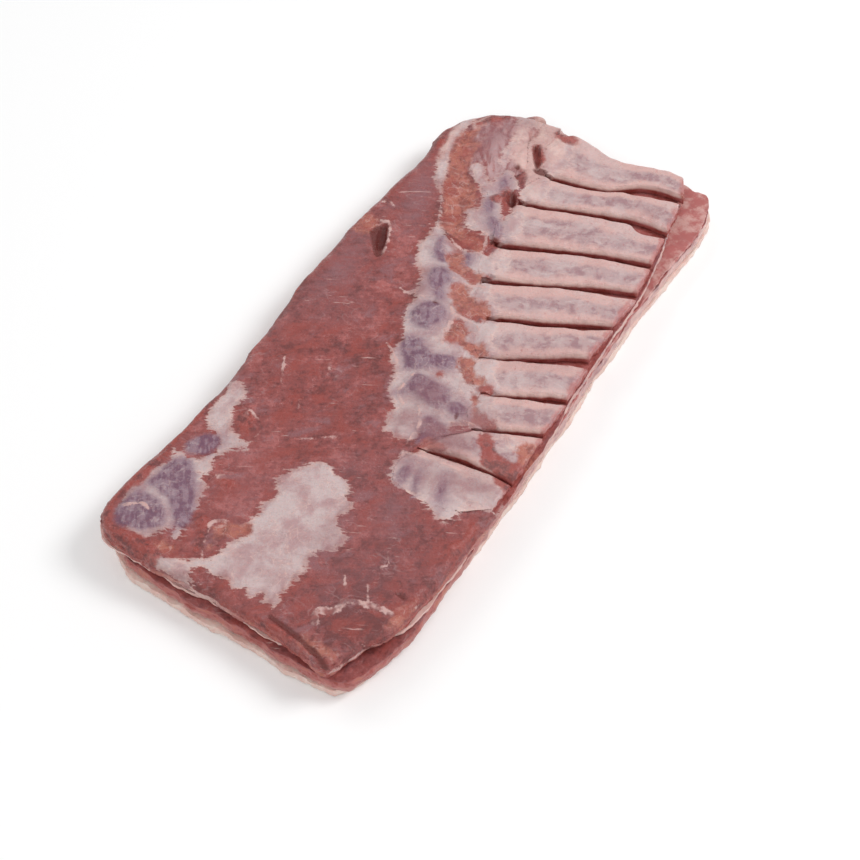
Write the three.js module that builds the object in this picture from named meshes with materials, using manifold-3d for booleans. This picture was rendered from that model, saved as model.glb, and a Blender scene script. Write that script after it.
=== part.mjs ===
// A bone-in slab of raw pork belly, lying rind down with its ribs up. X runs along the slab, with the
// breastbone end at +X, Y across it, and the near long edge, where the ribs are sawn off, is at -Y.
// From the board upwards: the rind with its back fat, the lower lean, a thin seam of fat, and the upper
// lean, whose bed holds the ribs, side by side with open cuts between them, and the breastbone.
// Sizes are in millimetres. The drawing is shifted by CENTRE, so that the slab is centred on the origin.
import * as THREE from "three";
import Module from "manifold-3d";
import { mergeVertices } from "three/addons/utils/BufferGeometryUtils.js";

const wasm = await Module();
wasm.setup();

const CENTRE = [1.11, -2.15];

// Heights above the board
const RIND_TOP = 7;
const LOWER_LEAN_TOP = 19;
const SEAM_TOP = 22;
const FACE = 34.5;
const BED = 26.5;
const RIB_TOP = 36.5;
const GAP = 0.3;

// How round the upper rim is, and how much sharper it is at the loose corner flap
const RIM_RADIUS = 7;
const FLAP = { x: -252, y: -108, reach: 60, radius: 3.5 };

// The slab's outline as four edges. The near and far ones run from the start (-X) to the end (+X), and
// the start and end ones from the near side (-Y) to the far side (+Y).
const OUTLINE = {
  near: [
    [-263, -104], [-246, -116], [-215, -123], [-175, -124], [-120, -122], [-50, -119],
    [0, -117], [50, -113], [110, -110], [170, -109], [230, -110], [267, -101],
  ],
  end: [[267, -101], [271, -80], [269, -40], [264, 0], [264, 40], [261, 66], [246, 95]],
  far: [
    [-256, 104], [-236, 113], [-190, 110], [-150, 107], [-100, 107], [-50, 111],
    [0, 117], [60, 119], [120, 118], [170, 114], [203, 118], [229, 109], [246, 95],
  ],
  start: [[-263, -104], [-265, -80], [-262, -40], [-261, 0], [-262, 40], [-262, 80], [-256, 104]],
};
// The upper lean's own near and end edges: the flap, and the rib tails drawn back from the slab's end
const UPPER_NEAR = [
  [-265, -99], [-252, -104], [-237, -109], [-221, -116], [-200, -120], [-150, -123], [-100, -124],
  [-50, -122], [0, -118], [50, -112], [110, -109], [165, -104], [197, -96], [226, -88], [256, -79],
];
const UPPER_END = [
  [256, -79], [267, -66], [260, -37], [257, -18], [261, 0], [264, 22], [264, 42], [261, 66], [246, 95],
];

// Where a layer leaves the outline: a spot, how far the pull reaches, and the shift at the spot
const PULLS = {
  rind_fat: [
    { x: -263, y: 0, reach: 95, dx: -8, dy: 0 },
    { x: -195, y: -124, reach: 60, dx: 0, dy: 9 },
    { x: 235, y: -110, reach: 90, dx: 0, dy: -1 },
    { x: -256, y: 104, reach: 26, dx: 4, dy: -8 },
  ],
  lower_lean: [
    { x: -263, y: 0, reach: 95, dx: -5, dy: 0 },
    { x: -256, y: 104, reach: 26, dx: 8, dy: -9 },
  ],
  fat_seam: [{ x: -250, y: -112, reach: 34, dx: 10, dy: 20 }],
  upper_lean: [],
};
const OUTLINE_STEPS = 60;
// The waves of a raw cut edge: height, wavelength over two pi, and how many times the phase counts
const STRAY = [[0.8, 11, 1], [0.5, 5.3, 2], [0.3, 3.1, 3]];

// The cuts on either side of each rib, from head to tail: x, y and the cut's width. The first is the edge
// of the last rib, and the last one is the slab's end, beside the first rib.
const CUTS = [
  [[-114, -48, 1], [-118, -75, 1], [-112, -102, 2], [-98, -122, 3]],
  [[-79, -46, 1], [-74, -64, 3], [-71, -80, 4], [-69, -100, 2], [-68, -120, 3]],
  [[-44, -70, 1], [-36, -84, 3], [-28, -99, 3.5], [-19, -117, 4]],
  [[-12, -58, 1], [-2, -76, 1.5], [8, -96, 4.5], [13, -105, 6], [17, -115, 5]],
  [[17, -38, 1], [25, -52, 1.5], [37, -72, 4], [44, -84, 5], [52, -97, 8], [58, -110, 10]],
  [[53, -22, 4], [63, -40, 4.5], [71, -58, 4.5], [80, -75, 4.5], [88, -90, 6.5], [98, -108, 4]],
  [[84, 2, 7], [95, -20, 4], [104, -37, 2.5], [119, -66, 4], [127, -84, 6.5], [136, -107, 7]],
  [[122, 14, 6], [128, 0, 6], [138, -22, 5], [150, -47, 4], [158, -67, 5], [169, -101, 6.5]],
  [[171, 22, 5], [178, 0, 4], [188, -25, 4], [198, -53, 5], [202, -66, 6], [201, -77, 12], [204, -95, 7]],
  [[208, 20, 4], [212, -3, 5], [220, -30, 3], [229, -43, 4], [236, -57, 10], [241, -73, 9], [244, -88, 6]],
  [[252, 34, 0], [262, 22, 0], [259.5, 0, 0], [255.5, -18, 0], [259, -37, 0], [266, -60, 0], [267, -76, 0]],
];
// Corners of the ribs' bed outside the slab, past its near side and its end, and a height above all of it
const BED_CORNERS = [[-98, -140], [290, -140], [290, 45]];
const ABOVE_ALL = 60;
const HEAD_BULGE = 6;
const HEADWARD = new THREE.Vector2(-0.47, 0.88);
const RIB_CROWN = 1.2;
const RIB_ROUNDING = 3;
const RIB_WIDTH = 30;
const RIB_LENGTH = 120;
// The waves of a rib's top, across the slab and along it: height and wavelength over two pi
const RIB_WAVES = { across: [0.4, 9], along: [0.3, 6] };
const ACROSS_RIB = [0, 0.04, 0.13, 0.32, 0.5, 0.68, 0.87, 0.96, 1];

// The breastbone's four edges, named as the outline's are
const BREASTBONE = {
  near: [[162, 37], [183, 41], [206, 34], [233, 48], [263, 50]],
  end: [[263, 50], [262, 66], [250, 86]],
  far: [[186, 86], [205, 94], [227, 97], [250, 86]],
  start: [[162, 37], [167, 52], [174, 68], [186, 86]],
};
const BREASTBONE_UNDERSIDE = 27;
// How far the breastbone's bed runs out past the slab's end
const BED_OPENING = 14;

// Low lumps and hollows of the face: centre, half length, half width, turn in degrees and height
const LUMPS = [
  // the rib cartilages, from the first beside the breastbone to the last
  { x: 98, y: 52, long: 16, wide: 9, turn: 20, rise: 2.5 },
  { x: 62, y: 31, long: 18, wide: 11, turn: 15, rise: 3.5 },
  { x: 29, y: 16, long: 16, wide: 13, turn: 20, rise: 3.5 },
  { x: -2, y: -8, long: 16, wide: 18, turn: -10, rise: 3.5 },
  { x: -34, y: -28, long: 13, wide: 20, turn: -8, rise: 3 },
  { x: -62, y: -30, long: 14, wide: 12, turn: 10, rise: 2.5 },
  // the meat between the rib heads lies lower
  { x: 70, y: 4, long: 16, wide: 8, turn: 30, rise: -2.5 },
  { x: 30, y: -20, long: 11, wide: 8, turn: 20, rise: -2.5 },
  { x: 93, y: 24, long: 8, wide: 13, turn: 0, rise: -2.5 },
  { x: 145, y: 58, long: 34, wide: 9, turn: 32, rise: -3 },
  // broad swells of the belly muscle, the membrane patches and the fat over the breastbone
  { x: 20, y: 80, long: 130, wide: 24, turn: 4, rise: 2 },
  { x: -60, y: 45, long: 90, wide: 22, turn: 10, rise: -1.5 },
  { x: -215, y: 85, long: 45, wide: 20, turn: 0, rise: 1.5 },
  { x: -190, y: -5, long: 50, wide: 26, turn: 0, rise: 1 },
  { x: -170, y: -88, long: 75, wide: 22, turn: 0, rise: 1.5 },
  { x: 216, y: 68, long: 34, wide: 22, turn: -10, rise: 3 },
  { x: 220, y: 43, long: 12, wide: 7, turn: 15, rise: 2 },
  { x: -256, y: -100, long: 24, wide: 14, turn: -20, rise: 2 },
];
const SWELL = { rise: 0.7, along: 31, across: 23 };

// Hollows cut right out of the upper lean: centre, half length, half width, half depth and turn
const HOLLOWS = [
  // the gash near the far edge
  { x: 80, y: 91, z: 36, long: 15, wide: 4.5, deep: 7, turn: 24 },
  // the gap under the loose corner flap
  { x: -244, y: -117, z: 22, long: 42, wide: 15, deep: 5, turn: -17 },
  // notches at the heads of the first three cuts
  { x: 221, y: 34, z: 36, long: 15, wide: 3, deep: 7, turn: 35 },
  { x: 171, y: 27, z: 36, long: 9, wide: 4, deep: 7, turn: 30 },
  { x: 124, y: 18, z: 36, long: 6, wide: 4, deep: 6, turn: 20 },
];

const FINISHES = {
  rind: { color: 0xd9b3a6, roughness: 0.55, metalness: 0 },
  fat: { color: 0xdcb9ae, roughness: 0.5, metalness: 0 },
  lean: { color: 0x93504c, roughness: 0.45, metalness: 0 },
  bone: { color: 0xc9a29c, roughness: 0.45, metalness: 0 },
};

const vector = ([x, y]) => new THREE.Vector2(x, y);
const clamp01 = (t) => Math.min(1, Math.max(0, t));

// How far a raw cut edge strays from a clean line at a distance along it
function stray(s, phase) {
  return STRAY.reduce((sum, [high, long, turns]) => sum + high * Math.sin(s / long + turns * phase), 0);
}

// Many points along a smooth closed line through the four edges, split at the corners again
function smoothEdges(edges) {
  const loop = [
    ...edges.near,
    ...edges.end.slice(1),
    ...edges.far.toReversed().slice(1),
    ...edges.start.toReversed().slice(1, -1),
  ];
  const knots = loop.map(([x, y]) => new THREE.Vector3(x, y, 0));
  const curve = new THREE.CatmullRomCurve3(knots, true, "catmullrom");
  const corners = [0];
  for (const edge of [edges.near, edges.end, edges.far]) corners.push(corners.at(-1) + edge.length - 1);
  corners.push(loop.length);
  const [near, end, far, start] = corners.slice(0, 4).map((corner, k) =>
    Array.from({ length: OUTLINE_STEPS + 1 }, (_, i) => {
      const knot = THREE.MathUtils.lerp(corner, corners[k + 1], i / OUTLINE_STEPS);
      const p = curve.getPoint((knot % loop.length) / loop.length);
      return vector([p.x, p.y]);
    }),
  );
  return { near, end, far: far.toReversed(), start: start.toReversed() };
}

// The edges of one layer of the slab: the outline pulled here and there, with a ragged line
function layerEdges(name, phase) {
  const own = name === "upper_lean" ? { near: UPPER_NEAR, end: UPPER_END } : {};
  if (own.near) own.start = [UPPER_NEAR[0], [-266, -86], ...OUTLINE.start.slice(2)];
  const edges = smoothEdges({ ...OUTLINE, ...own });
  for (const side of Object.keys(edges))
    edges[side] = edges[side].map((p) => {
      const moved = p.clone();
      for (const pull of PULLS[name]) {
        const share = Math.exp(-((p.distanceTo(pull) / pull.reach) ** 2));
        moved.add(new THREE.Vector2(pull.dx, pull.dy).multiplyScalar(share));
      }
      return moved.addScaledVector(p.clone().normalize(), stray(p.x - p.y, phase));
    });
  return edges;
}

// The point at a share of a line's length
function pointAlong(line, share) {
  const lengths = [0];
  for (let i = 1; i < line.length; i++) lengths.push(lengths[i - 1] + line[i].distanceTo(line[i - 1]));
  const target = share * lengths.at(-1);
  let i = 1;
  while (i < line.length - 1 && lengths[i] < target) i++;
  const t = (target - lengths[i - 1]) / (lengths[i] - lengths[i - 1]);
  return line[i - 1].clone().lerp(line[i], clamp01(t));
}

// The point of the patch between four edges, at share u along near and far and v along start and end
function patchPoint(edges, u, v) {
  const { near, far, start, end } = edges;
  return pointAlong(near, u)
    .multiplyScalar(1 - v)
    .addScaledVector(pointAlong(far, u), v)
    .addScaledVector(pointAlong(start, v), 1 - u)
    .addScaledVector(pointAlong(end, v), u)
    .addScaledVector(near[0], -(1 - u) * (1 - v))
    .addScaledVector(near.at(-1), -u * (1 - v))
    .addScaledVector(far[0], -(1 - u) * v)
    .addScaledVector(far.at(-1), -u * v);
}

// Shares from 0 to 1 in even steps, with one more close to each end, where the rim rounds over
function shares(steps, rim) {
  const even = Array.from({ length: steps - 1 }, (_, i) => (i + 1) / steps);
  return [0, rim, ...even, 1 - rim, 1];
}

// The border points of a patch, once round
function patchRim(edges, us, vs) {
  return [
    ...us.slice(0, -1).map((u) => patchPoint(edges, u, 0)),
    ...vs.slice(0, -1).map((v) => patchPoint(edges, 1, v)),
    ...us.toReversed().slice(0, -1).map((u) => patchPoint(edges, u, 1)),
    ...vs.toReversed().slice(0, -1).map((v) => patchPoint(edges, 0, v)),
  ];
}

function middleOf(points) {
  return points.reduce((sum, p) => sum.add(p), new THREE.Vector2()).divideScalar(points.length);
}

function toManifold(geometry) {
  const bare = geometry.clone();
  bare.deleteAttribute("normal");
  bare.deleteAttribute("uv");
  const merged = mergeVertices(bare, 1e-4);
  const vertProperties = new Float32Array(merged.attributes.position.array);
  const triVerts = new Uint32Array(merged.index.array);
  return new wasm.Manifold(new wasm.Mesh({ numProp: 3, vertProperties, triVerts }));
}

function toGeometry(points, faces) {
  const geometry = new THREE.BufferGeometry();
  geometry.setAttribute("position", new THREE.Float32BufferAttribute(points, 3));
  geometry.setIndex([...faces]);
  return geometry;
}

// The first body with all the others cut away from it
function cutAway(body, ...cutters) {
  const left = cutters.reduce((solid, cutter) => solid.subtract(toManifold(cutter)), toManifold(body));
  const mesh = left.getMesh();
  return toGeometry(mesh.vertProperties, mesh.triVerts);
}

// Closes a body below a top rim: a wall that swells by a bulge half way down, and a flat underside
function closeBelow(points, faces, rim, bottom, bulge) {
  const flat = (k) => new THREE.Vector2(points[3 * k], points[3 * k + 1]);
  const middle = middleOf(rim.map(flat));
  const foot = [];
  for (const k of rim) {
    const p = flat(k);
    const swollen = p.clone().addScaledVector(p.clone().sub(middle).normalize(), bulge);
    foot.push(points.length / 3);
    points.push(swollen.x, swollen.y, (points[3 * k + 2] + bottom) / 2, p.x, p.y, bottom);
  }
  rim.forEach((k, i) => {
    const next = (i + 1) % rim.length;
    const [a, b] = [foot[i], foot[next]];
    faces.push(k, a, b, k, b, rim[next]);
    faces.push(a, a + 1, b + 1, a, b + 1, b);
  });
  for (const [a, b, c] of THREE.ShapeUtils.triangulateShape(rim.map(flat), []))
    faces.push(foot[a] + 1, foot[c] + 1, foot[b] + 1);
  return toGeometry(points, faces);
}

// A body with a flat top and underside over a closed line
function prism(line, bottom, top, bulge) {
  const points = line.flatMap((p) => [p.x, p.y, top]);
  const faces = THREE.ShapeUtils.triangulateShape(line, []).flat();
  return closeBelow(points, faces, [...line.keys()], bottom, bulge);
}

// A body whose gridded top follows a height function over a patch
function cushion(edges, us, vs, height, bottom, bulge) {
  const columns = us.length;
  const rows = vs.length;
  const points = [];
  const faces = [];
  vs.forEach((v, j) =>
    us.forEach((u, i) => {
      const p = patchPoint(edges, u, v);
      points.push(p.x, p.y, height(p, u, v));
      if (i === 0 || j === 0) return;
      const c = j * columns + i;
      const a = c - columns - 1;
      faces.push(a, a + 1, c, a, c, c - 1);
    }),
  );
  const rim = [];
  for (let i = 0; i < columns - 1; i++) rim.push(i);
  for (let j = 0; j < rows - 1; j++) rim.push(j * columns + columns - 1);
  for (let i = columns - 1; i > 0; i--) rim.push((rows - 1) * columns + i);
  for (let j = rows - 1; j > 0; j--) rim.push(j * columns);
  return closeBelow(points, faces, rim, bottom, bulge);
}

// How far a rounded rim has dropped at a distance from its edge
function rollOff(distance, radius) {
  const t = clamp01(1 - distance / radius);
  return radius * (1 - Math.sqrt(1 - t * t));
}

function distanceTo(line, p) {
  const nearest = new THREE.Vector3();
  const at = new THREE.Vector3(p.x, p.y, 0);
  let least = Infinity;
  line.forEach((a, i) => {
    const b = line[(i + 1) % line.length];
    const stretch = new THREE.Line3(new THREE.Vector3(a.x, a.y, 0), new THREE.Vector3(b.x, b.y, 0));
    stretch.closestPointToPoint(at, true, nearest);
    least = Math.min(least, nearest.distanceTo(at));
  });
  return least;
}

const UPPER_EDGES = layerEdges("upper_lean", 5);
const UPPER_RIM = patchRim(UPPER_EDGES, shares(90, 0.005), shares(40, 0.012));

// The upper face of the slab: lumps and swells, with a rim that rounds over all the way round
function faceHeight(p) {
  let z = FACE + SWELL.rise * Math.sin(p.x / SWELL.along) * Math.cos(p.y / SWELL.across);
  for (const lump of LUMPS) {
    const at = new THREE.Vector2(p.x - lump.x, p.y - lump.y);
    at.rotateAround(new THREE.Vector2(), -THREE.MathUtils.degToRad(lump.turn));
    z += lump.rise * Math.exp(-((at.x / lump.long) ** 2) - (at.y / lump.wide) ** 2);
  }
  const flap = Math.exp(-((p.distanceTo(FLAP) / FLAP.reach) ** 2));
  const radius = THREE.MathUtils.lerp(RIM_RADIUS, FLAP.radius, flap);
  return z - rollOff(distanceTo(UPPER_RIM, p), radius);
}

// A flat layer of the slab
function layer(name, phase, bottom, top, bulge) {
  const rim = patchRim(layerEdges(name, phase), shares(40, 0.006), shares(18, 0.014));
  return prism(rim, bottom, top, bulge);
}

// One side of a rib: a cut's line, moved sideways by half its width
function cutSide(cut, sideways) {
  const knots = cut.map(([x, y, width]) => new THREE.Vector3(x, y, width));
  const line = new THREE.CatmullRomCurve3(knots, false, "catmullrom");
  return Array.from({ length: OUTLINE_STEPS + 1 }, (_, i) => {
    const p = line.getPoint(i / OUTLINE_STEPS);
    const along = line.getTangent(i / OUTLINE_STEPS);
    const beside = new THREE.Vector2(-along.y, along.x).normalize();
    return vector([p.x, p.y]).addScaledVector(beside, sideways * (p.z / 2 + GAP));
  });
}

// The four edges of the rib between two cuts, with its head bulging out
function ribEdges(i) {
  const near = cutSide(CUTS[i], 1);
  const far = cutSide(CUTS[i + 1], -1);
  const across = (a, b, bulge) =>
    Array.from({ length: OUTLINE_STEPS + 1 }, (_, k) => {
      const t = k / OUTLINE_STEPS;
      return a.clone().lerp(b, t).addScaledVector(HEADWARD, bulge * Math.sin(Math.PI * t));
    });
  return { near, far, start: across(near[0], far[0], HEAD_BULGE), end: across(near.at(-1), far.at(-1), 0) };
}

function rib(i) {
  const wave = ([height, length], s, phase) => height * Math.sin(s / length + phase);
  const height = (p, u, v) => {
    const rim = Math.min(Math.min(v, 1 - v) * RIB_WIDTH, Math.min(u, 1 - u) * RIB_LENGTH);
    const waves = wave(RIB_WAVES.across, p.y, i) + wave(RIB_WAVES.along, p.x, 2 * i);
    return RIB_TOP - RIB_CROWN * (2 * v - 1) ** 2 + waves - rollOff(rim, RIB_ROUNDING);
  };
  return cushion(ribEdges(i), shares(11, 0.01), ACROSS_RIB, height, BED + GAP, 0);
}

// The hollow that holds the ribs: past their heads, and out over the slab's near side and end
function ribBed() {
  const sparse = (line) => line.filter((_, k) => k % 6 === 0);
  const heads = [];
  for (let i = 0; i < CUTS.length - 1; i++)
    for (const p of sparse(ribEdges(i).start)) heads.push(p.addScaledVector(HEADWARD, 2 * GAP));
  const beside = sparse(ribEdges(0).near).map((p) => p.add(new THREE.Vector2(-2 * GAP, 0)));
  const line = [...beside.slice(1), ...BED_CORNERS.map(vector), ...heads.toReversed()];
  return prism(line, BED, ABOVE_ALL, 0);
}

// The breastbone's smooth edges, grown outwards by a little
function breastboneEdges(grow) {
  const edges = smoothEdges(BREASTBONE);
  const middle = middleOf(Object.values(edges).flat());
  for (const side of Object.keys(edges))
    edges[side] = edges[side].map((p) => p.clone().addScaledVector(p.clone().sub(middle).normalize(), grow));
  return edges;
}

// The hollow that holds the breastbone, open at the slab's end
function breastboneBed() {
  const edges = breastboneEdges(3 * GAP);
  edges.end = edges.end.map((p) => p.clone().add(new THREE.Vector2(BED_OPENING, 0)));
  edges.near.push(edges.end[0]);
  edges.far.push(edges.end.at(-1));
  const line = patchRim(edges, shares(24, 0.02), shares(10, 0.04));
  return prism(line, BREASTBONE_UNDERSIDE - GAP, ABOVE_ALL, 0);
}

function hollow({ x, y, z, long, wide, deep, turn }) {
  const ball = new THREE.SphereGeometry(1, 20, 10).scale(long, wide, deep);
  return ball.rotateZ(THREE.MathUtils.degToRad(turn)).translate(x, y, z);
}

function upperLean() {
  const [us, vs] = [shares(60, 0.005), shares(26, 0.012)];
  const whole = cushion(UPPER_EDGES, us, vs, faceHeight, SEAM_TOP + GAP, 1);
  return cutAway(whole, ribBed(), breastboneBed(), ...HOLLOWS.map(hollow));
}

const slab = new THREE.Group();
slab.name = "pork_rib_slab";
slab.position.set(-CENTRE[0], -CENTRE[1], 0);

function add(name, finish, geometry) {
  geometry.computeVertexNormals();
  const piece = new THREE.Mesh(geometry, new THREE.MeshStandardMaterial(FINISHES[finish]));
  piece.name = name;
  slab.add(piece);
}

add("rind_fat", "rind", layer("rind_fat", 1, 0, RIND_TOP, 1));
add("lower_lean", "lean", layer("lower_lean", 2, RIND_TOP + GAP, LOWER_LEAN_TOP, 1.5));
add("fat_seam", "fat", layer("fat_seam", 3, LOWER_LEAN_TOP + GAP, SEAM_TOP, 0.3));
add("upper_lean", "lean", upperLean());
for (let i = 0; i < CUTS.length - 1; i++) {
  const number = String(CUTS.length - 1 - i).padStart(2, "0");
  add(`rib_${number}`, "bone", rib(i));
}
const boneGrid = [shares(12, 0.03), shares(8, 0.05)];
add("breastbone", "bone", cushion(breastboneEdges(0), ...boneGrid, faceHeight, BREASTBONE_UNDERSIDE, 0));

export default slab;
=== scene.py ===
"""A bone-in slab of raw pork belly, rind down and ribs up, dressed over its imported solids.

The slab is drawn in millimetres and moved by -CENTRE, so that its box is centred on the origin.
X runs along it towards the breastbone, Y across it away from the sawn rib tails, and Z up.
"""

import math

import bmesh
import bpy
import numpy as np
from bpy.props import FloatProperty, FloatVectorProperty, PointerProperty
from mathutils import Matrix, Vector, noise


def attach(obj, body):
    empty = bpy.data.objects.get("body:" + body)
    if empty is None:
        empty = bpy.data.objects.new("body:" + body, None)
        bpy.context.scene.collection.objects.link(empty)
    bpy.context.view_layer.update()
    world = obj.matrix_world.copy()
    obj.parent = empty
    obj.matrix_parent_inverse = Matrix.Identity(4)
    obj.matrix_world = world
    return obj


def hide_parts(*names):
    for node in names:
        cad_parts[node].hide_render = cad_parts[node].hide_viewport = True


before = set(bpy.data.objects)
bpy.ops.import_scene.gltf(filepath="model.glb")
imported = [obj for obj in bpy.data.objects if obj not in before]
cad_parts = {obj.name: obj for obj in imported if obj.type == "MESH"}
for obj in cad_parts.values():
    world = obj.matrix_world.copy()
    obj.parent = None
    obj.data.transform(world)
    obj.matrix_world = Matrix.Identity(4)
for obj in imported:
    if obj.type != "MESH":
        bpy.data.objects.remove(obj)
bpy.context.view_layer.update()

bl_info = {
    "name": "Raw pork rib slab",
    "version": (1, 0, 0),
    "blender": (4, 5, 0),
    "location": "3D View > Sidebar > Pork slab",
    "description": "Models and colours a bone-in slab of raw pork belly",
    "category": "Add Mesh",
}

MM = 0.001
CENTRE = np.array([1.11, -2.15, 0.0])
GAP = 0.3

# The slab's outline as four edges. The near and far ones run from the start (-X) to the end (+X), and
# the start and end ones from the near side (-Y) to the far side (+Y).
OUTLINE = {
    "near": [
        (-263, -104), (-246, -116), (-215, -123), (-175, -124), (-120, -122), (-50, -119), (0, -117),
        (50, -113), (110, -110), (170, -109), (230, -110), (267, -101),
    ],
    "end": [(267, -101), (271, -80), (269, -40), (264, 0), (264, 40), (261, 66), (246, 95)],
    "far": [
        (-256, 104), (-236, 113), (-190, 110), (-150, 107), (-100, 107), (-50, 111), (0, 117), (60, 119),
        (120, 118), (170, 114), (203, 118), (229, 109), (246, 95),
    ],
    "start": [(-263, -104), (-265, -80), (-262, -40), (-261, 0), (-262, 40), (-262, 80), (-256, 104)],
}
# The upper lean's own edges: the loose flap, and the rib tails drawn back from the slab's end
UPPER_OUTLINE = {
    "near": [
        (-265, -99), (-252, -104), (-237, -109), (-221, -116), (-200, -120), (-150, -123), (-100, -124),
        (-50, -122), (0, -118), (50, -112), (110, -109), (165, -104), (197, -96), (226, -88), (256, -79),
    ],
    "end": [
        (256, -79), (267, -66), (260, -37), (257, -18), (261, 0), (264, 22), (264, 42), (261, 66),
        (246, 95),
    ],
    "far": OUTLINE["far"],
    "start": [(-265, -99), (-266, -86), *OUTLINE["start"][2:]],
}
# Where a layer leaves the outline: x, y, how far the pull reaches, and the shift in x and y
PULLS = {
    "rind_fat": [
        (-263, 0, 95, -8, 0), (-195, -124, 60, 0, 9), (235, -110, 90, 0, -1), (-256, 104, 26, 4, -8),
    ],
    "lower_lean": [(-263, 0, 95, -5, 0), (-256, 104, 26, 8, -9)],
    "fat_seam": [(-250, -112, 34, 10, 20)],
    "upper_lean": [],
}
EDGE_STEPS = 60
# The waves by which a raw cut edge strays: height, reach and how the layer's phase turns it
STRAYS = ((0.8, 11, 1), (0.5, 5.3, 2), (0.3, 3.1, 3))

# The cuts beside each rib, from head to tail: x, y and width. The last one is the slab's end.
CUTS = [
    [(-114, -48, 1), (-118, -75, 1), (-112, -102, 2), (-98, -122, 3)],
    [(-79, -46, 1), (-74, -64, 3), (-71, -80, 4), (-69, -100, 2), (-68, -120, 3)],
    [(-44, -70, 1), (-36, -84, 3), (-28, -99, 3.5), (-19, -117, 4)],
    [(-12, -58, 1), (-2, -76, 1.5), (8, -96, 4.5), (13, -105, 6), (17, -115, 5)],
    [(17, -38, 1), (25, -52, 1.5), (37, -72, 4), (44, -84, 5), (52, -97, 8), (58, -110, 10)],
    [(53, -22, 4), (63, -40, 4.5), (71, -58, 4.5), (80, -75, 4.5), (88, -90, 6.5), (98, -108, 4)],
    [(84, 2, 7), (95, -20, 4), (104, -37, 2.5), (119, -66, 4), (127, -84, 6.5), (136, -107, 7)],
    [(122, 14, 6), (128, 0, 6), (138, -22, 5), (150, -47, 4), (158, -67, 5), (169, -101, 6.5)],
    [(171, 22, 5), (178, 0, 4), (188, -25, 4), (198, -53, 5), (202, -66, 6), (201, -77, 12), (204, -95, 7)],
    [
        (208, 20, 4), (212, -3, 5), (220, -30, 3), (229, -43, 4), (236, -57, 10), (241, -73, 9),
        (244, -88, 6),
    ],
    [
        (252, 34, 0), (262, 22, 0), (259.5, 0, 0), (255.5, -18, 0), (259, -37, 0), (266, -60, 0),
        (267, -76, 0),
    ],
]
HEADWARD = np.array([-0.47, 0.88])
HEAD_BULGE = 6

BREASTBONE = {
    "near": [(162, 37), (183, 41), (206, 34), (233, 48), (263, 50)],
    "end": [(263, 50), (262, 66), (250, 86)],
    "far": [(186, 86), (205, 94), (227, 97), (250, 86)],
    "start": [(162, 37), (167, 52), (174, 68), (186, 86)],
}
BREASTBONE_UNDERSIDE = 27

# Low lumps and hollows of the face: x, y, half length, half width, turn in degrees and height
LUMPS = [
    (98, 52, 16, 9, 20, 2.5), (62, 31, 18, 11, 15, 3.5), (29, 16, 16, 13, 20, 3.5),
    (-2, -8, 16, 18, -10, 3.5), (-34, -28, 13, 20, -8, 3), (-62, -30, 14, 12, 10, 2.5),
    (70, 4, 16, 8, 30, -2.5), (30, -20, 11, 8, 20, -2.5), (93, 24, 8, 13, 0, -2.5),
    (145, 58, 34, 9, 32, -3), (20, 80, 130, 24, 4, 2), (-60, 45, 90, 22, 10, -1.5),
    (-215, 85, 45, 20, 0, 1.5), (-190, -5, 50, 26, 0, 1), (-170, -88, 75, 22, 0, 1.5),
    (216, 68, 34, 22, -10, 3), (220, 43, 12, 7, 15, 2), (-256, -100, 24, 14, -20, 2),
]
# The slow swell of the whole face: its height, and its reach along X and Y
SWELL = (0.7, 31, 23)
# Hollows pressed into the face: x, y, z, half length, half width, half depth and turn
HOLLOWS = [
    (80, 91, 36, 15, 4.5, 7, 24), (221, 34, 36, 15, 3, 7, 35), (171, 27, 36, 9, 4, 7, 30),
    (124, 18, 36, 6, 4, 6, 20),
]
BREASTBONE_HOLE = (204, 42, 40, 2.6, 2.2, 3.5, 0)
FLAP_GAP = (-244, -117, 22, 42, 15, 5, -17)
# The loose flap: x, y, the reach of its thin rim, that rim's radius, and the reach of its pale edge
FLAP = (-252, -108, 60, 3.5, 34)
# The fatty wedge on the start's rim: its middle and half width along Y
START_WEDGE = (14, 26)

# The walls of the ribs' bed and of the breastbone's hollow lie between these depths inside their lines. The
# upper lean overlaps the ribs' heads and the breastbone's border there.
HOLE_WALL = (1.3, 2.1)
# How far a rib's head and the breastbone's border lie under the face
JOIN_DROP = 0.35
# How far under the face, and under the ribs' crown, the paint of a cut side starts
SIDE_DROP = 3
RIB_SIDE_DROP = 2.4
RIB_CROWN = 1.7
RIB_ROUNDING = 3.2
RIB_CELL = (0.9, 0.8)
# The upper lean's length and width for counting its cells, and the rings that close it underneath
UPPER_LEAN_SPAN = (530, 232)
UNDERSIDE_INSETS = [1.2, 4, 9, 16, 26]
WALL_RINGS = 8
BREASTBONE_WALL_RINGS = 6
BREASTBONE_CELLS = (110, 60)

# A lower layer of the slab: the points round it, the insets of its rings on top and underneath, and the
# rings down its wall
LAYER_POINTS = 1300
TOP_INSETS = (34, 24, 16, 9, 4)
TOP_RIM = (0.8, 0.05)
UNDER_INSETS = (3, 12)
LAYER_WALL_RINGS = 12

# The stage, in metres: where the camera looks on the slab, each light's size and place, and the floor
TARGET = (-0.0495, -0.0384, 0.018)
LIGHTS = {
    "key": (0.8, (0.9, -1.0, 1.5)),
    "fill": (1.4, (0.2, 1.7, 1.5)),
    "front": (1.2, (-1.5, -0.6, 1.3)),
}
FLOOR_HALF = 6
FLOOR_COLOUR = (0.94, 0.94, 0.94, 1)
FLOOR_ROUGHNESS = 0.9
CLIP_END = 20

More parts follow.
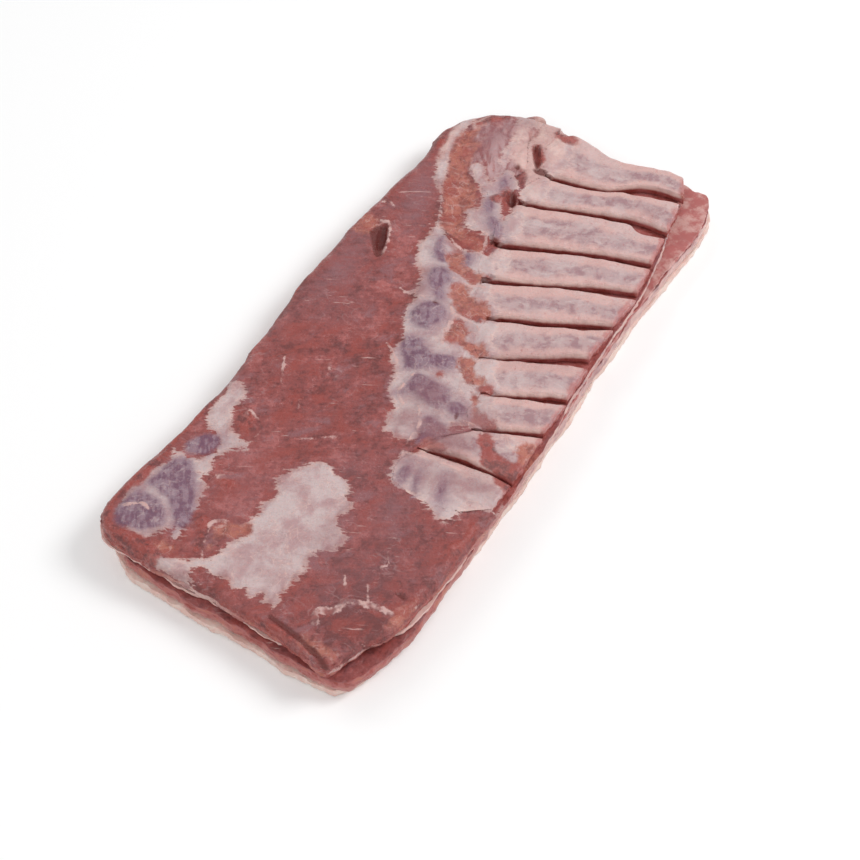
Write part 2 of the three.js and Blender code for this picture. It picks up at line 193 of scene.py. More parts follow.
# What shows on the face. An outline is a closed list of points, a spot is x, y, half length, half width
# and turn, and a streak is a half width and an open list of points.
SKIN = {
    "outlines": [
        [
            (-80, -20), (-77, -17), (-70, -15), (-62, -13), (-55, -9), (-50, -3), (-44, 3), (-36, 5),
            (-29, 7), (-24, 11), (-20, 17), (-13, 21), (-4, 20), (4, 21), (11, 25), (18, 30), (26, 33),
            (36, 34), (41, 36), (44, 43), (47, 38), (55, 40), (64, 43), (70, 50), (77, 57), (88, 61),
            (100, 60), (112, 63), (114, 54), (106, 44), (103, 30), (109, 16), (106, 2), (92, -10),
            (78, -12), (68, -26), (50, -36), (36, -40), (24, -54), (8, -58), (-2, -72), (-18, -74),
            (-32, -92), (-44, -94), (-48, -82), (-44, -66), (-48, -58), (-56, -56), (-66, -44), (-78, -38),
        ],
        [
            (126, 22), (125, 34), (124, 42), (134, 48), (142, 52), (150, 44), (160, 48), (168, 54),
            (172, 62), (182, 72), (190, 70), (184, 60), (178, 52), (188, 50), (196, 46), (194, 36),
            (186, 28), (170, 34), (160, 30), (150, 22), (136, 12), (128, 14),
        ],
        [
            (-113, -44), (-100, -40), (-88, -39), (-84, -48), (-82, -60), (-81, -80), (-78, -98),
            (-77, -118), (-97, -124), (-102, -106), (-112, -104), (-122, -104), (-124, -94), (-118, -78),
            (-115, -66), (-114, -55),
        ],
        [
            (148, 83), (160, 93), (172, 99), (186, 103), (200, 107), (214, 110), (230, 109), (238, 103),
            (230, 98), (214, 100), (200, 96), (186, 92), (172, 87), (160, 82),
        ],
        [
            (-247, 28), (-240, 24), (-232, 20), (-222, 18), (-214, 14), (-206, 10), (-200, 14), (-196, 17),
            (-188, 16), (-180, 18), (-172, 14), (-164, 18), (-157, 22), (-150, 20), (-143, 16), (-138, 14),
            (-132, 8), (-127, 2), (-127, -4), (-131, -10), (-131, -18), (-137, -28), (-144, -32),
            (-149, -38), (-156, -37), (-160, -34), (-166, -38), (-170, -46), (-178, -50), (-186, -47),
            (-193, -41), (-200, -36), (-212, -40), (-222, -39), (-232, -38), (-242, -40), (-251, -42),
            (-246, -36), (-248, -30), (-243, -27), (-251, -22), (-246, -15), (-249, -6), (-246, 2),
            (-249, 10),
        ],
        [
            (-263, 56), (-259, 59), (-255, 48), (-250, 40), (-244, 30), (-240, 24), (-244, 16), (-251, 22),
            (-256, 25), (-262, 18), (-265, 10), (-267, 2), (-271, -6), (-271, 2), (-268, 14), (-265, 24),
            (-263, 40),
        ],
        [
            (-184, 64), (-170, 71), (-158, 67), (-150, 60), (-143, 57), (-140, 66), (-138, 77), (-130, 81),
            (-120, 85), (-108, 85), (-99, 96), (-102, 103), (-112, 101), (-128, 101), (-142, 97),
            (-146, 89), (-150, 80), (-160, 75), (-172, 79), (-180, 94), (-176, 100), (-186, 92),
        ],
        [
            (-250, 80), (-248, 94), (-238, 102), (-222, 104), (-206, 102), (-192, 98), (-180, 90),
            (-180, 76), (-186, 64), (-200, 59), (-214, 58), (-228, 58), (-238, 62), (-246, 68),
        ],
    ],
    "spots": [
        (92, 55, 18, 6, 12), (214, 56, 20, 5, 8), (254, 62, 9, 12, 0), (-42, -101, 8, 9, 0),
        (232, 20, 26, 13, 12), (190, 16, 20, 12, 10), (146, 10, 24, 9, 18), (104, -6, 16, 6, 18),
        ],
    "streaks": [
        (2.2, [(-248, 70), (-236, 65), (-224, 68), (-219, 82), (-216, 100)]),
        (2.4, [(-230, 66), (-214, 63), (-198, 62), (-187, 69), (-181, 84), (-179, 98)]),
        (3.0, [(-236, 52), (-222, 57), (-206, 60), (-190, 66)]),
        (1.4, [(112, 60), (125, 66), (138, 73), (152, 82)]),
    ],
}
GRISTLE = {
    "outlines": [
        [(82, 38), (86, 46), (94, 51), (104, 52), (108, 48), (102, 46), (96, 44), (90, 38), (85, 34)],
        [
            (46, 16), (50, 24), (56, 32), (64, 38), (74, 38), (79, 32), (77, 24), (70, 19), (60, 19),
            (52, 13),
        ],
        [(16, 12), (18, 22), (24, 28), (34, 28), (42, 24), (46, 14), (40, 4), (32, 2), (24, 4), (18, 6)],
        [
            (-22, 2), (-14, 10), (-4, 18), (6, 18), (9, 8), (4, 0), (0, -8), (4, -16), (8, -24), (0, -30),
            (-8, -24), (-12, -16), (-18, -8),
        ],
        [
            (-46, -4), (-36, -8), (-24, -8), (-20, -16), (-21, -30), (-24, -40), (-34, -44), (-42, -40),
            (-43, -28), (-40, -16),
        ],
        [(-76, -42), (-66, -40), (-54, -36), (-50, -42), (-54, -56), (-62, -58), (-68, -52), (-76, -46)],
        [
            (-244, 102), (-252, 94), (-250, 85), (-245, 72), (-237, 65), (-228, 67), (-220, 77), (-218, 89),
            (-219, 99), (-230, 102),
        ],
        [
            (-212, 98), (-198, 97), (-184, 94), (-179, 86), (-183, 77), (-194, 66), (-209, 56), (-225, 50),
            (-231, 56), (-222, 68), (-214, 79), (-212, 90),
        ],
        [(-167, 96), (-156, 92), (-147, 82), (-151, 74), (-161, 74), (-170, 81), (-172, 90)],
    ],
    "spots": [
        (96, 23, 8, 5, 0), (138, 22, 12, 6, 50), (154, 38, 9, 5, 30), (183, 42, 9, 4, 30),
        (-104, -52, 9, 5, 10), (-106, -63, 9, 2.5, 20), (-102, -83, 9, 3.5, 25), (-34, -52, 7, 8, 0),
        (-224, 58, 11, 3.5, 5),
    ],
    "streaks": [],
}
EMBER = {
    "outlines": [
        [
            (107, 20), (110, 32), (111, 44), (114, 56), (126, 64), (140, 72), (156, 82), (170, 88),
            (186, 96), (200, 101), (216, 99), (226, 93), (214, 87), (206, 78), (196, 78), (186, 76),
            (176, 69), (168, 61), (158, 52), (150, 46), (142, 53), (132, 49), (123, 44), (124, 30),
            (120, 19), (112, 16),
        ],
        [
            (77, 5), (79, 18), (82, 30), (88, 36), (98, 37), (102, 32), (98, 26), (91, 22), (91, 12),
            (91, 3), (84, 0),
        ],
        [
            (47, -20), (45, -12), (46, 0), (50, 8), (55, 13), (62, 17), (70, 17), (75, 12), (73, 5),
            (67, 2), (64, -6), (66, -14), (62, -22), (54, -26),
        ],
        [
            (15, -9), (19, -6), (30, -4), (40, -4), (40, -12), (37, -18), (30, -19), (28, -24), (30, -34),
            (26, -42), (18, -40), (14, -35), (17, -27), (20, -20),
        ],
        [
            (-5, -38), (0, -30), (7, -26), (14, -30), (14, -38), (8, -41), (3, -44), (1, -54), (-5, -56),
            (-9, -46),
        ],
        [
            (-32, -63), (-22, -57), (-15, -51), (-14, -58), (-22, -63), (-28, -68), (-28, -80), (-33, -87),
            (-38, -80), (-39, -70),
        ],
        [(-78, -52), (-75, -46), (-70, -44), (-65, -50), (-65, -60), (-70, -66), (-76, -60)],
        [(-53, -117), (-46, -109), (-38, -107), (-30, -116), (-32, -126), (-53, -126)],
        [
            (-232, 24), (-233, 29), (-222, 31), (-214, 33), (-206, 26), (-200, 14), (-206, 10), (-212, 14),
            (-218, 22), (-226, 26),
        ],
        [(74, 104), (78, 116), (94, 116), (96, 104), (88, 98)],
        [(204, -104), (216, -97), (236, -92), (250, -82), (252, -92), (236, -100), (220, -104)],
    ],
    "spots": [(-205, -116, 14, 5, -8), (-247, 52, 5, 9, 25), (-258, -84, 5, 16, 0)],
    "streaks": [],
}
RED = {
    "outlines": [
        [
            (-67, -92), (-58, -88), (-50, -80), (-41, -78), (-44, -88), (-51, -96), (-54, -106),
            (-52, -126), (-76, -126), (-76, -112), (-70, -104),
        ],
        [(-138, 72), (-132, 78), (-124, 81), (-117, 76), (-121, 68), (-128, 60), (-134, 62)],
        [(-241, 33), (-234, 38), (-226, 41), (-219, 48), (-211, 47), (-213, 40), (-222, 36), (-230, 32)],
        [(216, 30), (222, 38), (230, 44), (236, 39), (228, 32), (220, 26)],
        [
            (-206, 105), (-230, 105), (-241, 105), (-251, 98), (-252, 86), (-250, 69), (-253, 55),
            (-259, 50), (-268, 56), (-272, 85), (-265, 110), (-240, 120), (-206, 114),
        ],
    ],
    "spots": [
        (-8, -60, 5, 7, 20), (-180, 50, 4, 8, 20), (88, -4, 5, 6, 20), (123, 13, 6, 4, 30),
        (48, -18, 4, 4, 0), (170, 31, 9, 5, 30), (196, 110, 8, 5, 0), (-14, -24, 3, 2.5, 0),
        (85, -114, 12, 3, 0), (-140, -117, 9, 6, 0), (-120, -118, 8, 4, 0), (164, 38, 5, 5, 0),
        (58, -112, 9, 4, 0), (254, 26, 6, 12, -15),
    ],
    "streaks": [
        (3.5, [(-236, 113), (-214, 110), (-190, 109), (-166, 106), (-142, 105), (-120, 106)]),
        (2.5, [(-100, 107), (-60, 110), (-20, 114), (20, 118), (50, 119)]),
        (4.0, [(-215, 104), (-198, 105), (-181, 103)]),
        (3.0, [(229, 95), (240, 88), (249, 79)]),
        (5.0, [(-272, 10), (-268, -12), (-264, -36), (-262, -60)]),
    ],
}
GASH = {
    "outlines": [[
        (60, 83), (66, 90), (74, 97), (80, 102), (87, 101), (93, 95), (86, 90), (76, 84), (66, 80),
    ]],
    "spots": [
        (204, 42, 2.4, 2.4, 0), (210, 24, 4, 6, 0), (172, 27, 8, 3, 30), (44, 18, 1.5, 3, 0),
        (88, -5, 2.5, 5, 20), (-40, -55, 2.4, 1.2, 20), (-192, -108, 1.5, 5, 0), (125, 14, 3, 5, -25),
    ],
    "streaks": [
        (2.0, [(-254, -42), (-257, -62), (-262, -84), (-268, -98)]),
        (1.8, [(-77, -66), (-73, -76), (-70, -90), (-67, -102)]),
        (1.0, [(204, -99), (218, -97), (230, -93), (240, -88)]),
    ],
}
RIDGE = {
    "outlines": [],
    "spots": [(-177, 56, 2, 4, 20), (-123, 74, 4, 2, 30), (-50, 51, 5, 1.5, 30), (-56, 40, 2.5, 1.5, 20)],
    "streaks": [
        (0.9, [(-118, 29), (-110, 18), (-102, 8)]),
        (3.0, [(-242, -71), (-237, -67), (-232, -69), (-228, -76), (-222, -78)]),
        (2.2, [(-224, -78), (-218, -78), (-213, -88), (-210, -98), (-208, -109)]),
        (0.9, [(-242, 25), (-234, 31), (-222, 35), (-213, 38), (-206, 30)]),
        (0.8, [(-140, 58), (-128, 58), (-120, 66), (-117, 76)]),
        (1.4, [(64, 79), (74, 83), (86, 88), (95, 94), (94, 101)]),
        (0.9, [(44, 50), (42, 40), (44, 28)]),
        (1.3, [(12, -9), (20, -5), (31, -3), (41, 0), (47, 5)]),
        (1.0, [(-79, -38), (-66, -38), (-55, -34), (-48, -27)]),
        (1.0, [(-51, -15), (-44, -7), (-34, -6), (-23, -7)]),
        (0.9, [(18, -28), (13, -38), (22, -50)]),
        (1.1, [(41, -24), (43, -14), (42, -2)]),
        (1.2, [(74, 20), (75, 8), (79, -4)]),
        (1.2, [(108, 44), (104, 32), (108, 17), (118, 19), (128, 24)]),
        (1.3, [(-88, -40), (-83, -58), (-81, -76), (-79, -92)]),
        (0.9, [(-43, -80), (-40, -70), (-42, -58)]),
        (0.8, [(-20, 10), (-12, 20), (-8, 27)]),
        (0.7, [(112, 100), (115, 106), (113, 111)]),
        (0.6, [(-84, 71), (-73, 77), (-62, 83)]),
        (0.5, [(-96, 47), (-88, 51)]),
        (0.5, [(-210, -92), (-198, -84)]),
        (0.5, [(-208, -72), (-200, -66)]),
        (0.6, [(-182, -83), (-176, -86), (-168, -80)]),
        (0.6, [(-187, -60), (-183, -57), (-182, -61)]),
        (1.6, [(-192, -121), (-178, -125), (-168, -126)]),
        (1.4, [(-160, -125), (-140, -125)]),
        (1.2, [(-236, 99), (-228, 88), (-230, 80)]),
    ],
}
REGIONS = {"skin": SKIN, "gristle": GRISTLE, "ember": EMBER, "red": RED, "gash": GASH, "ridge": RIDGE}
REGION_REACH = 25
SHARP = math.radians(50)
# Softer changes of the face: x, y, half length, half width and turn, and then how much paler, more filmed,
# pinker with fat and duller it is. Amounts left out at the end are 0.
TINTS = [
    (68, 62, 24, 14, 30, 0.9), (-185, 32, 28, 14, 0, 0.8, 0.3), (-150, 45, 20, 12, 0, 0.4, 0.2),
    (-100, 45, 40, 15, 10, 0.25), (5, 72, 20, 14, 0, -0.6, 0.3), (-22, 82, 14, 8, 0, -0.5),
    (-120, -25, 22, 14, 0, -0.4, 0.3), (-190, -75, 42, 22, 0, -0.6, 0.35), (-228, -92, 22, 14, -30, -0.8),
    (-85, 0, 18, 10, 0, -0.4), (30, 104, 60, 8, 0, -0.5, 0.5), (-215, -62, 25, 10, 0, -0.5, 0.3),
    (132, 90, 34, 13, 20, 0.2, 1.0), (-130, -62, 25, 18, 0, 0, 0.55), (-57, -70, 13, 17, -10, 0.4, 0.9),
    (222, 72, 28, 22, 0, 0.4, 0.9), (30, 94, 40, 12, 10, -0.1, 0.6), (-160, -100, 40, 16, 0, -0.2, 0.2),
    (205, 60, 22, 8, 0, 1.0), (120, 50, 8, 12, 0, -0.8), (150, 80, 14, 5, 35, -0.8),
    (-10, 40, 60, 8, 20, 0.2), (218, 44, 13, 8, 15, 0, 0, 1.2), (236, 60, 24, 12, 10, 0, 0.3, 0.45),
    (232, 94, 12, 5, -20, 0, 0, 0.8), (196, 104, 30, 5, 12, 0, 0, 0.7), (232, 22, 20, 9, 20, 0, 0, 0.7),
    (186, 14, 16, 8, 20, 0, 0, 0.6), (-250, 34, 7, 14, 15, 0, 0, 0.4), (250, 38, 18, 11, 0, 0, 0.2, 1.0),
    (206, 28, 16, 8, 20, 0, 0, 0.8), (262, 52, 8, 14, 0, 0, 0, 0.7), (-235, 92, 18, 12, 0, 0.2, 0.8),
    (-130, -10, 16, 10, 0, -0.6, 0.3), (-100, -30, 12, 9, 0, 0.4), (-160, -60, 20, 10, 0, 0.5),
    (-60, 70, 30, 10, 15, 0.5), (-30, 30, 22, 10, 0, -0.4), (-95, -72, 14, 34, 10, 0, 0, 0, 0.5),
    (-61, -66, 13, 16, 0, 0, 0, 0, 0.75), (-33, -28, 15, 18, 0, 0, 0, 0, 0.5),
    (-60, -46, 12, 12, 0, 0, 0, 0, 0.6), (-64, -24, 14, 8, 0, 0, 0, 0, 0.45),
    (-176, -38, 26, 12, 0, 0, 0, 0, 0.4), (220, 76, 26, 10, 0, 0, 0, 0, 0.55),
    (252, 60, 8, 16, 0, 0, 0, 0, 0.5), (-33, -70, 10, 14, 0, 0, 0, 0, 0.7),
    (40, -76, 34, 14, -62, 0, 0, 0, 0.25), (-150, 61, 10, 9, 0, 0, 0, 0, 0.45),
    (-84, -104, 8, 16, 0, 0, 0, 0, 0.4), (216, -74, 8, 16, 10, 0, 0, 0, 0.35), (-190, -78, 44, 22, 0, -0.9),
    (-232, -88, 26, 16, -30, -0.9),
]


# Settings

def size(name, description, millimetres):
    """A length setting."""
    return FloatProperty(name=name, description=description, default=millimetres * MM, unit="LENGTH")


def angle(name, description, degrees):
    """An angle setting."""
    return FloatProperty(name=name, description=description, default=math.radians(degrees), subtype="ANGLE")


def power(name, description, watts):
    """A light's power setting."""
    return FloatProperty(name=name, description=description, default=watts, unit="POWER")


class SlabSizes(bpy.types.PropertyGroup):
    """Heights above the board and the roundness of the edges."""

    rind_top: size("Rind top", "Top of the back fat", 7)
    lean_top: size("Lower lean top", "Top of the lower lean", 19)
    seam_top: size("Seam top", "Top of the fat seam", 22)
    face: size("Face", "Height of the face", 34.5)
    bed: size("Rib bed", "Floor of the rib bed", 26.5)
    rib_top: size("Rib top", "Crown of the ribs", 36.5)
    rim: size("Rim", "Radius of the face's rim", 7)
    cell: size("Cell", "Size of a cell of the face", 1.3)


def colour(name, description, *levels):
    """A colour setting from screen levels 0 to 255."""
    linear = [(c / 255 / 12.92) if c < 11 else ((c / 255 + 0.055) / 1.055) ** 2.4 for c in levels]
    return FloatVectorProperty(
        name=name, description=description, default=(*linear, 1), size=4, min=0, max=1, subtype="COLOR"
    )


class SlabColours(bpy.types.PropertyGroup):
    """Colours of the meat, bone, gristle and fat."""

    lean: colour("Lean", "Damp lean meat", 142, 75, 73)
    lean_dark: colour("Dark lean", "The darkest lean meat", 110, 56, 55)
    lean_pale: colour("Pale lean", "The palest lean meat", 172, 100, 97)
    film: colour("Film", "Lean meat seen through a thin film", 143, 96, 100)
    ember: colour("Ember lean", "Orange brown meat between the rib heads", 178, 108, 92)
    ember_dark: colour("Dark ember lean", "The darker meat between the rib heads", 138, 78, 70)
    red: colour("Red lean", "Fresh red meat at cut rims", 152, 71, 64)
    # Besides the tears, this colour is painted as shade deep down the ribs' sides.
    gash: colour("Gash", "Deep red in tears and cuts", 100, 42, 38)
    skin: colour("Skin", "Silvery skin where it is thick", 200, 178, 177)
    skin_thin: colour("Thin skin", "Silvery skin where it is thin", 181, 146, 147)
    gristle: colour("Gristle", "Mauve gristle under the skin", 147, 120, 132)
    gristle_dark: colour("Dark gristle", "The darkest gristle", 114, 76, 96)
    fat: colour("Fat", "Pale pink fat", 220, 188, 180)
    bone_edge: colour("Bone edge", "Skin along a rib's edges", 206, 168, 163)
    bone_middle: colour("Bone middle", "A rib's middle", 184, 156, 156)
    bone_mark: colour("Bone mark", "Mauve marks on a rib", 162, 128, 132)
    rind: colour("Rind", "Cream rind", 230, 212, 202)
    rind_pink: colour("Pink rind", "Rind where blood tints it", 216, 176, 166)


class SlabStage(bpy.types.PropertyGroup):
    """The camera and the lights."""

    azimuth: angle("Azimuth", "Camera's turn round the slab", -57)
    elevation: angle("Elevation", "Camera's height angle", 52)
    distance: size("Distance", "From the camera to its target", 1530)
    lens: FloatProperty(name="Lens", description="Focal length", default=86.8, unit="CAMERA")
    key: power("Key light", "Power of the main light", 21)
    fill: power("Fill light", "Power of the softer light", 11)
    front: power("Front light", "Power of the light on the start side", 10)
    sky: FloatProperty(name="Sky", description="Strength of the light all round", default=0.5, min=0)


def sizes():
    return bpy.context.scene.slab_sizes


def colours():
    return bpy.context.scene.slab_colours


def mm(length):
    return length / MM


# Lines, patches and distances, all in millimetres

def curve_at(knots, places, closed):
    """Points of the smooth line through the knots, at places counted in knots."""
    knots = np.asarray(knots, float)
    places = np.asarray(places, float)
    count = len(knots)
    if closed:
        step = np.floor(places).astype(int)
        before, here, there, beyond = (knots[(step + i) % count] for i in (-1, 0, 1, 2))
    else:
        padded = np.vstack([2 * knots[0] - knots[1], knots, 2 * knots[-1] - knots[-2]])
        step = np.minimum(np.floor(places).astype(int), count - 2)
        before, here, there, beyond = (padded[step + i] for i in range(4))
    t = (places - step)[:, None]
    bend = 2 * before - 5 * here + 4 * there - beyond
    return here + 0.5 * ((there - before) * t + bend * t**2 + (3 * here - before - 3 * there + beyond) * t**3)


def smooth_edges(edges):
    """Many points along a smooth closed line through the four edges, split at the corners again."""
    loop = [*edges["near"], *edges["end"][1:], *edges["far"][::-1][1:], *edges["start"][::-1][1:-1]]
    corners = np.cumsum([0] + [len(edges[side]) - 1 for side in ("near", "end", "far", "start")])
    lines = [
        curve_at(loop, np.linspace(corners[k], corners[k + 1], EDGE_STEPS + 1), closed=True) for k in range(4)
    ]
    return {"near": lines[0], "end": lines[1], "far": lines[2][::-1], "start": lines[3][::-1]}


def stray(s, phase):
    """How far a raw cut edge strays from a clean line at a distance along it."""
    return sum(height * np.sin(s / reach + turns * phase) for height, reach, turns in STRAYS)


def layer_edges(name, phase):
    """The edges of one layer of the slab: the outline pulled here and there, with a ragged line."""
    edges = smooth_edges(UPPER_OUTLINE if name == "upper_lean" else OUTLINE)
    for side, line in edges.items():
        moved = line.copy()
        for x, y, reach, dx, dy in PULLS[name]:
            share = np.exp(-((line - (x, y)) ** 2).sum(1) / reach**2)
            moved += share[:, None] * (dx, dy)
        outward = line / np.linalg.norm(line, axis=1)[:, None]
        edges[side] = moved + outward * stray(line[:, 0] - line[:, 1], phase)[:, None]
    return edges


def along(line, shares):
    """Points at shares of a line's length."""
    lengths = np.append(0, np.cumsum(np.linalg.norm(np.diff(line, axis=0), axis=1)))
    places = np.asarray(shares) * lengths[-1]
    return np.stack([np.interp(places, lengths, line[:, k]) for k in (0, 1)], 1)


def patch(edges, u, v):
    """Points of the patch between four edges, at shares u along near and far and v along start and end."""
    near, far, start, end = (edges[side] for side in ("near", "far", "start", "end"))
    a, b = u[:, None], v[:, None]
    between = (1 - b) * along(near, u) + b * along(far, u) + (1 - a) * along(start, v) + a * along(end, v)
    corners = (1 - a) * (1 - b) * near[0] + a * (1 - b) * near[-1] + (1 - a) * b * far[0] + a * b * far[-1]
    return between - corners


def border_shares(turns):
    """The shares u and v of places once round a patch: near, end, far and start, at turns from 0 to 4."""
    turns = np.asarray(turns) % 4
    u = np.select([turns < 1, turns < 2, turns < 3], [turns, 1, 3 - turns], 0)
    v = np.select([turns < 1, turns < 2, turns < 3], [0, turns - 1, 1], 4 - turns)
    return u, v


def border_turns(u, v):
    """The turns of places on a patch's border."""
    return np.select([v <= 0, u >= 1, v >= 1], [u, 1 + v, 3 - u], 4 - v)


def inset_patch(edges, u, v, inset):
    """Points of a patch that is drawn in on all sides by an inset."""
    length = np.linalg.norm(edges["near"][-1] - edges["near"][0])
    width = np.linalg.norm(edges["start"][-1] - edges["start"][0])
    return patch(edges, 0.5 + (u - 0.5) * (1 - 2 * inset / length), 0.5 + (v - 0.5) * (1 - 2 * inset / width))


def border(edges, turns):
    return patch(edges, *border_shares(turns))


def outward_at(edges, turns, reach=0.03):
    """Which way is out of a patch at its border, smoothed over a reach."""
    ahead = border(edges, turns + reach) - border(edges, turns - reach)
    out = np.stack([ahead[:, 1], -ahead[:, 0]], 1)
    return out / np.linalg.norm(out, axis=1)[:, None]


def distance_to(points, line, closed=True):
    """Distance from each point to a line."""
    least = np.full(len(points), np.inf)
    ends = np.roll(line, -1, axis=0) if closed else line[1:]
    for a, b in zip(line, ends):
        stretch = b - a
        t = np.clip((points - a) @ stretch / max(stretch @ stretch, 1e-12), 0, 1)
        least = np.minimum(least, ((points - a - t[:, None] * stretch) ** 2).sum(1))
    return np.sqrt(least)


def depth_in(points, line):
    """Distance to a closed line, counted positive inside it and negative outside."""
    inside = np.zeros(len(points), bool)
    for a, b in zip(line, np.roll(line, -1, axis=0)):
        spans = (a[1] > points[:, 1]) != (b[1] > points[:, 1])
        rise = b[1] - a[1] if b[1] != a[1] else 1e-9
        inside ^= spans & (points[:, 0] < a[0] + (points[:, 1] - a[1]) * (b[0] - a[0]) / rise)
    return np.where(inside, 1, -1) * distance_to(points, line)


def turned(points, x, y, turn):
    """Points seen from a spot, along and across its turn."""
    angle = math.radians(turn)
    moved = points - (x, y)
    return (
        moved[:, 0] * math.cos(angle) + moved[:, 1] * math.sin(angle),
        moved[:, 1] * math.cos(angle) - moved[:, 0] * math.sin(angle),
    )


def close_by(points, line):
    """Which points lie within reach of a line."""
    return (np.abs(points - (line.max(0) + line.min(0)) / 2) < np.ptp(line, axis=0) / 2 + REGION_REACH).all(1)


def depth_in_region(points, region):
    """How deep each point lies in a region made of outlines, spots and streaks."""
    depth = np.full(len(points), -float(REGION_REACH))
    for outline in region["outlines"]:
        line = curve_at(outline, np.arange(0, len(outline), 0.25), closed=True)
        close = close_by(points, line)
        depth[close] = np.maximum(depth[close], depth_in(points[close], line))
    for x, y, long, wide, turn in region["spots"]:
        ahead, aside = turned(points, x, y, turn)
        depth = np.maximum(depth, (1 - np.hypot(ahead / long, aside / wide)) * min(long, wide))
    for half_width, knots in region["streaks"]:
        line = curve_at(knots, np.linspace(0, len(knots) - 1, 6 * len(knots)), closed=False)
        close = close_by(points, line)
        depth[close] = np.maximum(depth[close], half_width - distance_to(points[close], line, closed=False))
    return np.clip(depth, -REGION_REACH, REGION_REACH)


def tints_at(points):
    """How much paler, more filmed, pinker with fat and duller the face is at points."""
    tints = {name: np.zeros(len(points)) for name in ("paler", "film", "pink", "dull")}
    for x, y, long, wide, turn, *amounts in TINTS:
        ahead, aside = turned(points, x, y, turn)
        share = np.exp(-((ahead / long) ** 2) - (aside / wide) ** 2)
        for name, amount in zip(tints, amounts):
            tints[name] += amount * share
    return tints


def fatty_at(points):
    """How fatty the cut sides are: along the near side and at the far end of it."""
    return smoothstep(points[:, 0], -190, 20) * smoothstep(-points[:, 1], 30, 90)


def flap_at(points, reach):
    """How much the loose flap counts at points, fading over a reach."""
    return np.exp(-((points[:, 0] - FLAP[0]) ** 2 + (points[:, 1] - FLAP[1]) ** 2) / reach**2)


def rough(points, scale, seed=0.0):
    """Smooth noise from -1 to 1 at points in millimetres, with features of about a given size."""
    shift = Vector((seed, 2.7 * seed, 4.1 * seed))
    return np.array([noise.noise(Vector(p) / scale + shift) for p in points.tolist()])


def on_face(points, stretch=1.0):
    """Points of the face with a flat third coordinate, for noise."""
    return np.column_stack([points[:, 0], points[:, 1] * stretch, np.zeros(len(points))])


def smoothstep(value, low, high):
    t = np.clip((value - low) / (high - low), 0, 1)
    return t * t * (3 - 2 * t)


def roll_off(distance, radius):
    """How far a rounded rim has dropped at a distance from its edge."""
    t = np.clip(1 - distance / radius, 0, 1)
    return radius * (1 - np.sqrt(1 - t * t))


# The face

def cut_side(cut, sideways):
    """One side of a rib: a cut's line, moved sideways by half its width."""
    places = np.linspace(0, len(cut) - 1, EDGE_STEPS + 1)
    line = curve_at(cut, places, closed=False)
    ahead = np.gradient(line[:, :2], axis=0)
    beside = np.stack([-ahead[:, 1], ahead[:, 0]], 1) / np.linalg.norm(ahead, axis=1)[:, None]
    return line[:, :2] + beside * sideways * (line[:, 2:] / 2 + GAP)


def rib_edges(i):
    """The four edges of the rib between two cuts, with its head bulging out."""
    near, far = cut_side(CUTS[i], 1), cut_side(CUTS[i + 1], -1)
    t = np.linspace(0, 1, EDGE_STEPS + 1)[:, None]
    head = near[0] + (far[0] - near[0]) * t + HEADWARD * HEAD_BULGE * np.sin(math.pi * t)
    return {"near": near, "far": far, "start": head, "end": near[-1] + (far[-1] - near[-1]) * t}


def rib_bed():
    """The closed line round the ribs' bed, out over the slab's near side and end."""
    beside = rib_edges(0)["near"][::4] - (2 * GAP, 0)
    heads = [rib_edges(i)["start"][::4] + HEADWARD * 2 * GAP for i in range(len(CUTS) - 1)]
    return np.vstack([beside[1:], [(-98, -140), (290, -140), (290, 45)], np.vstack(heads)[::-1]])


def breastbone_edges():
    return smooth_edges(BREASTBONE)


class Face:
    """The upper face of the slab, which the upper lean, the ribs and the breastbone share."""

    def __init__(self):
        self.edges = layer_edges("upper_lean", 5)
        self.rim = border(self.edges, np.arange(0, 4, 0.012))
        self.bed = rib_bed()
        self.breastbone = border(breastbone_edges(), np.arange(0, 4, 0.08))

    def smooth_height(self, points):
        """Height of the face before anything is cut into it."""
        x, y = points[:, 0], points[:, 1]
        rise, reach_x, reach_y = SWELL
        z = mm(sizes().face) + rise * np.sin(x / reach_x) * np.cos(y / reach_y)
        for lump_x, lump_y, long, wide, turn, rise in LUMPS:
            ahead, aside = turned(points, lump_x, lump_y, turn)
            z += rise * np.exp(-((ahead / long) ** 2) - (aside / wide) ** 2)
        flap = flap_at(points, FLAP[2])
        radius = mm(sizes().rim) * (1 - flap) + FLAP[3] * flap
        return z - roll_off(distance_to(points, self.rim), radius)

    def height(self, points, depths):
        """Height of the face with its fine relief: raised skin, torn meat and the grain of the muscle."""
        grain = rough(on_face(points, 0.35), 5, 4) * 0.5 + rough(on_face(points), 14, 3) * 0.9
        ragged = rough(on_face(points), 5, 1) * 2 + rough(on_face(points), 2.2, 2)
        skin = smoothstep(depths["skin"] + ragged, -0.5, 2.0)
        torn = smoothstep(depths["gash"] + 0.4 * ragged, -1.5, 1.5)
        beads = smoothstep(depths["ridge"] + 0.3 * ragged, -0.8, 0.8)
        rim = 1.8 * smoothstep(depths["red"], -2, 5)
        ember = smoothstep(depths["ember"] + ragged, -1, 2)
        pads = smoothstep(depths["gristle"], -1, 4)
        wrinkles = rough(on_face(points, 0.45), 3.5, 9) * 0.6
        lumpy = rough(on_face(points), 4.5, 5)
        return (
            self.smooth_height(points) + grain * (1 - 0.5 * skin) + (0.45 + wrinkles) * skin - 1.5 * torn
            + 0.8 * beads + rim + ember * (lumpy * 0.9 - 0.9) + pads * (0.8 + lumpy * 0.8)
        )


def region_depths(points):
    return {name: depth_in_region(points, region) for name, region in REGIONS.items()}


def face_paint(points, depths, below):
    """What shows at points of the face, fading out a little below its rim."""
    paint = {name: depth - 1.6 * below for name, depth in depths.items()}
    paint["below"] = below
    paint.update(tints_at(points))
    paint["fatty"] = fatty_at(points)
    return paint


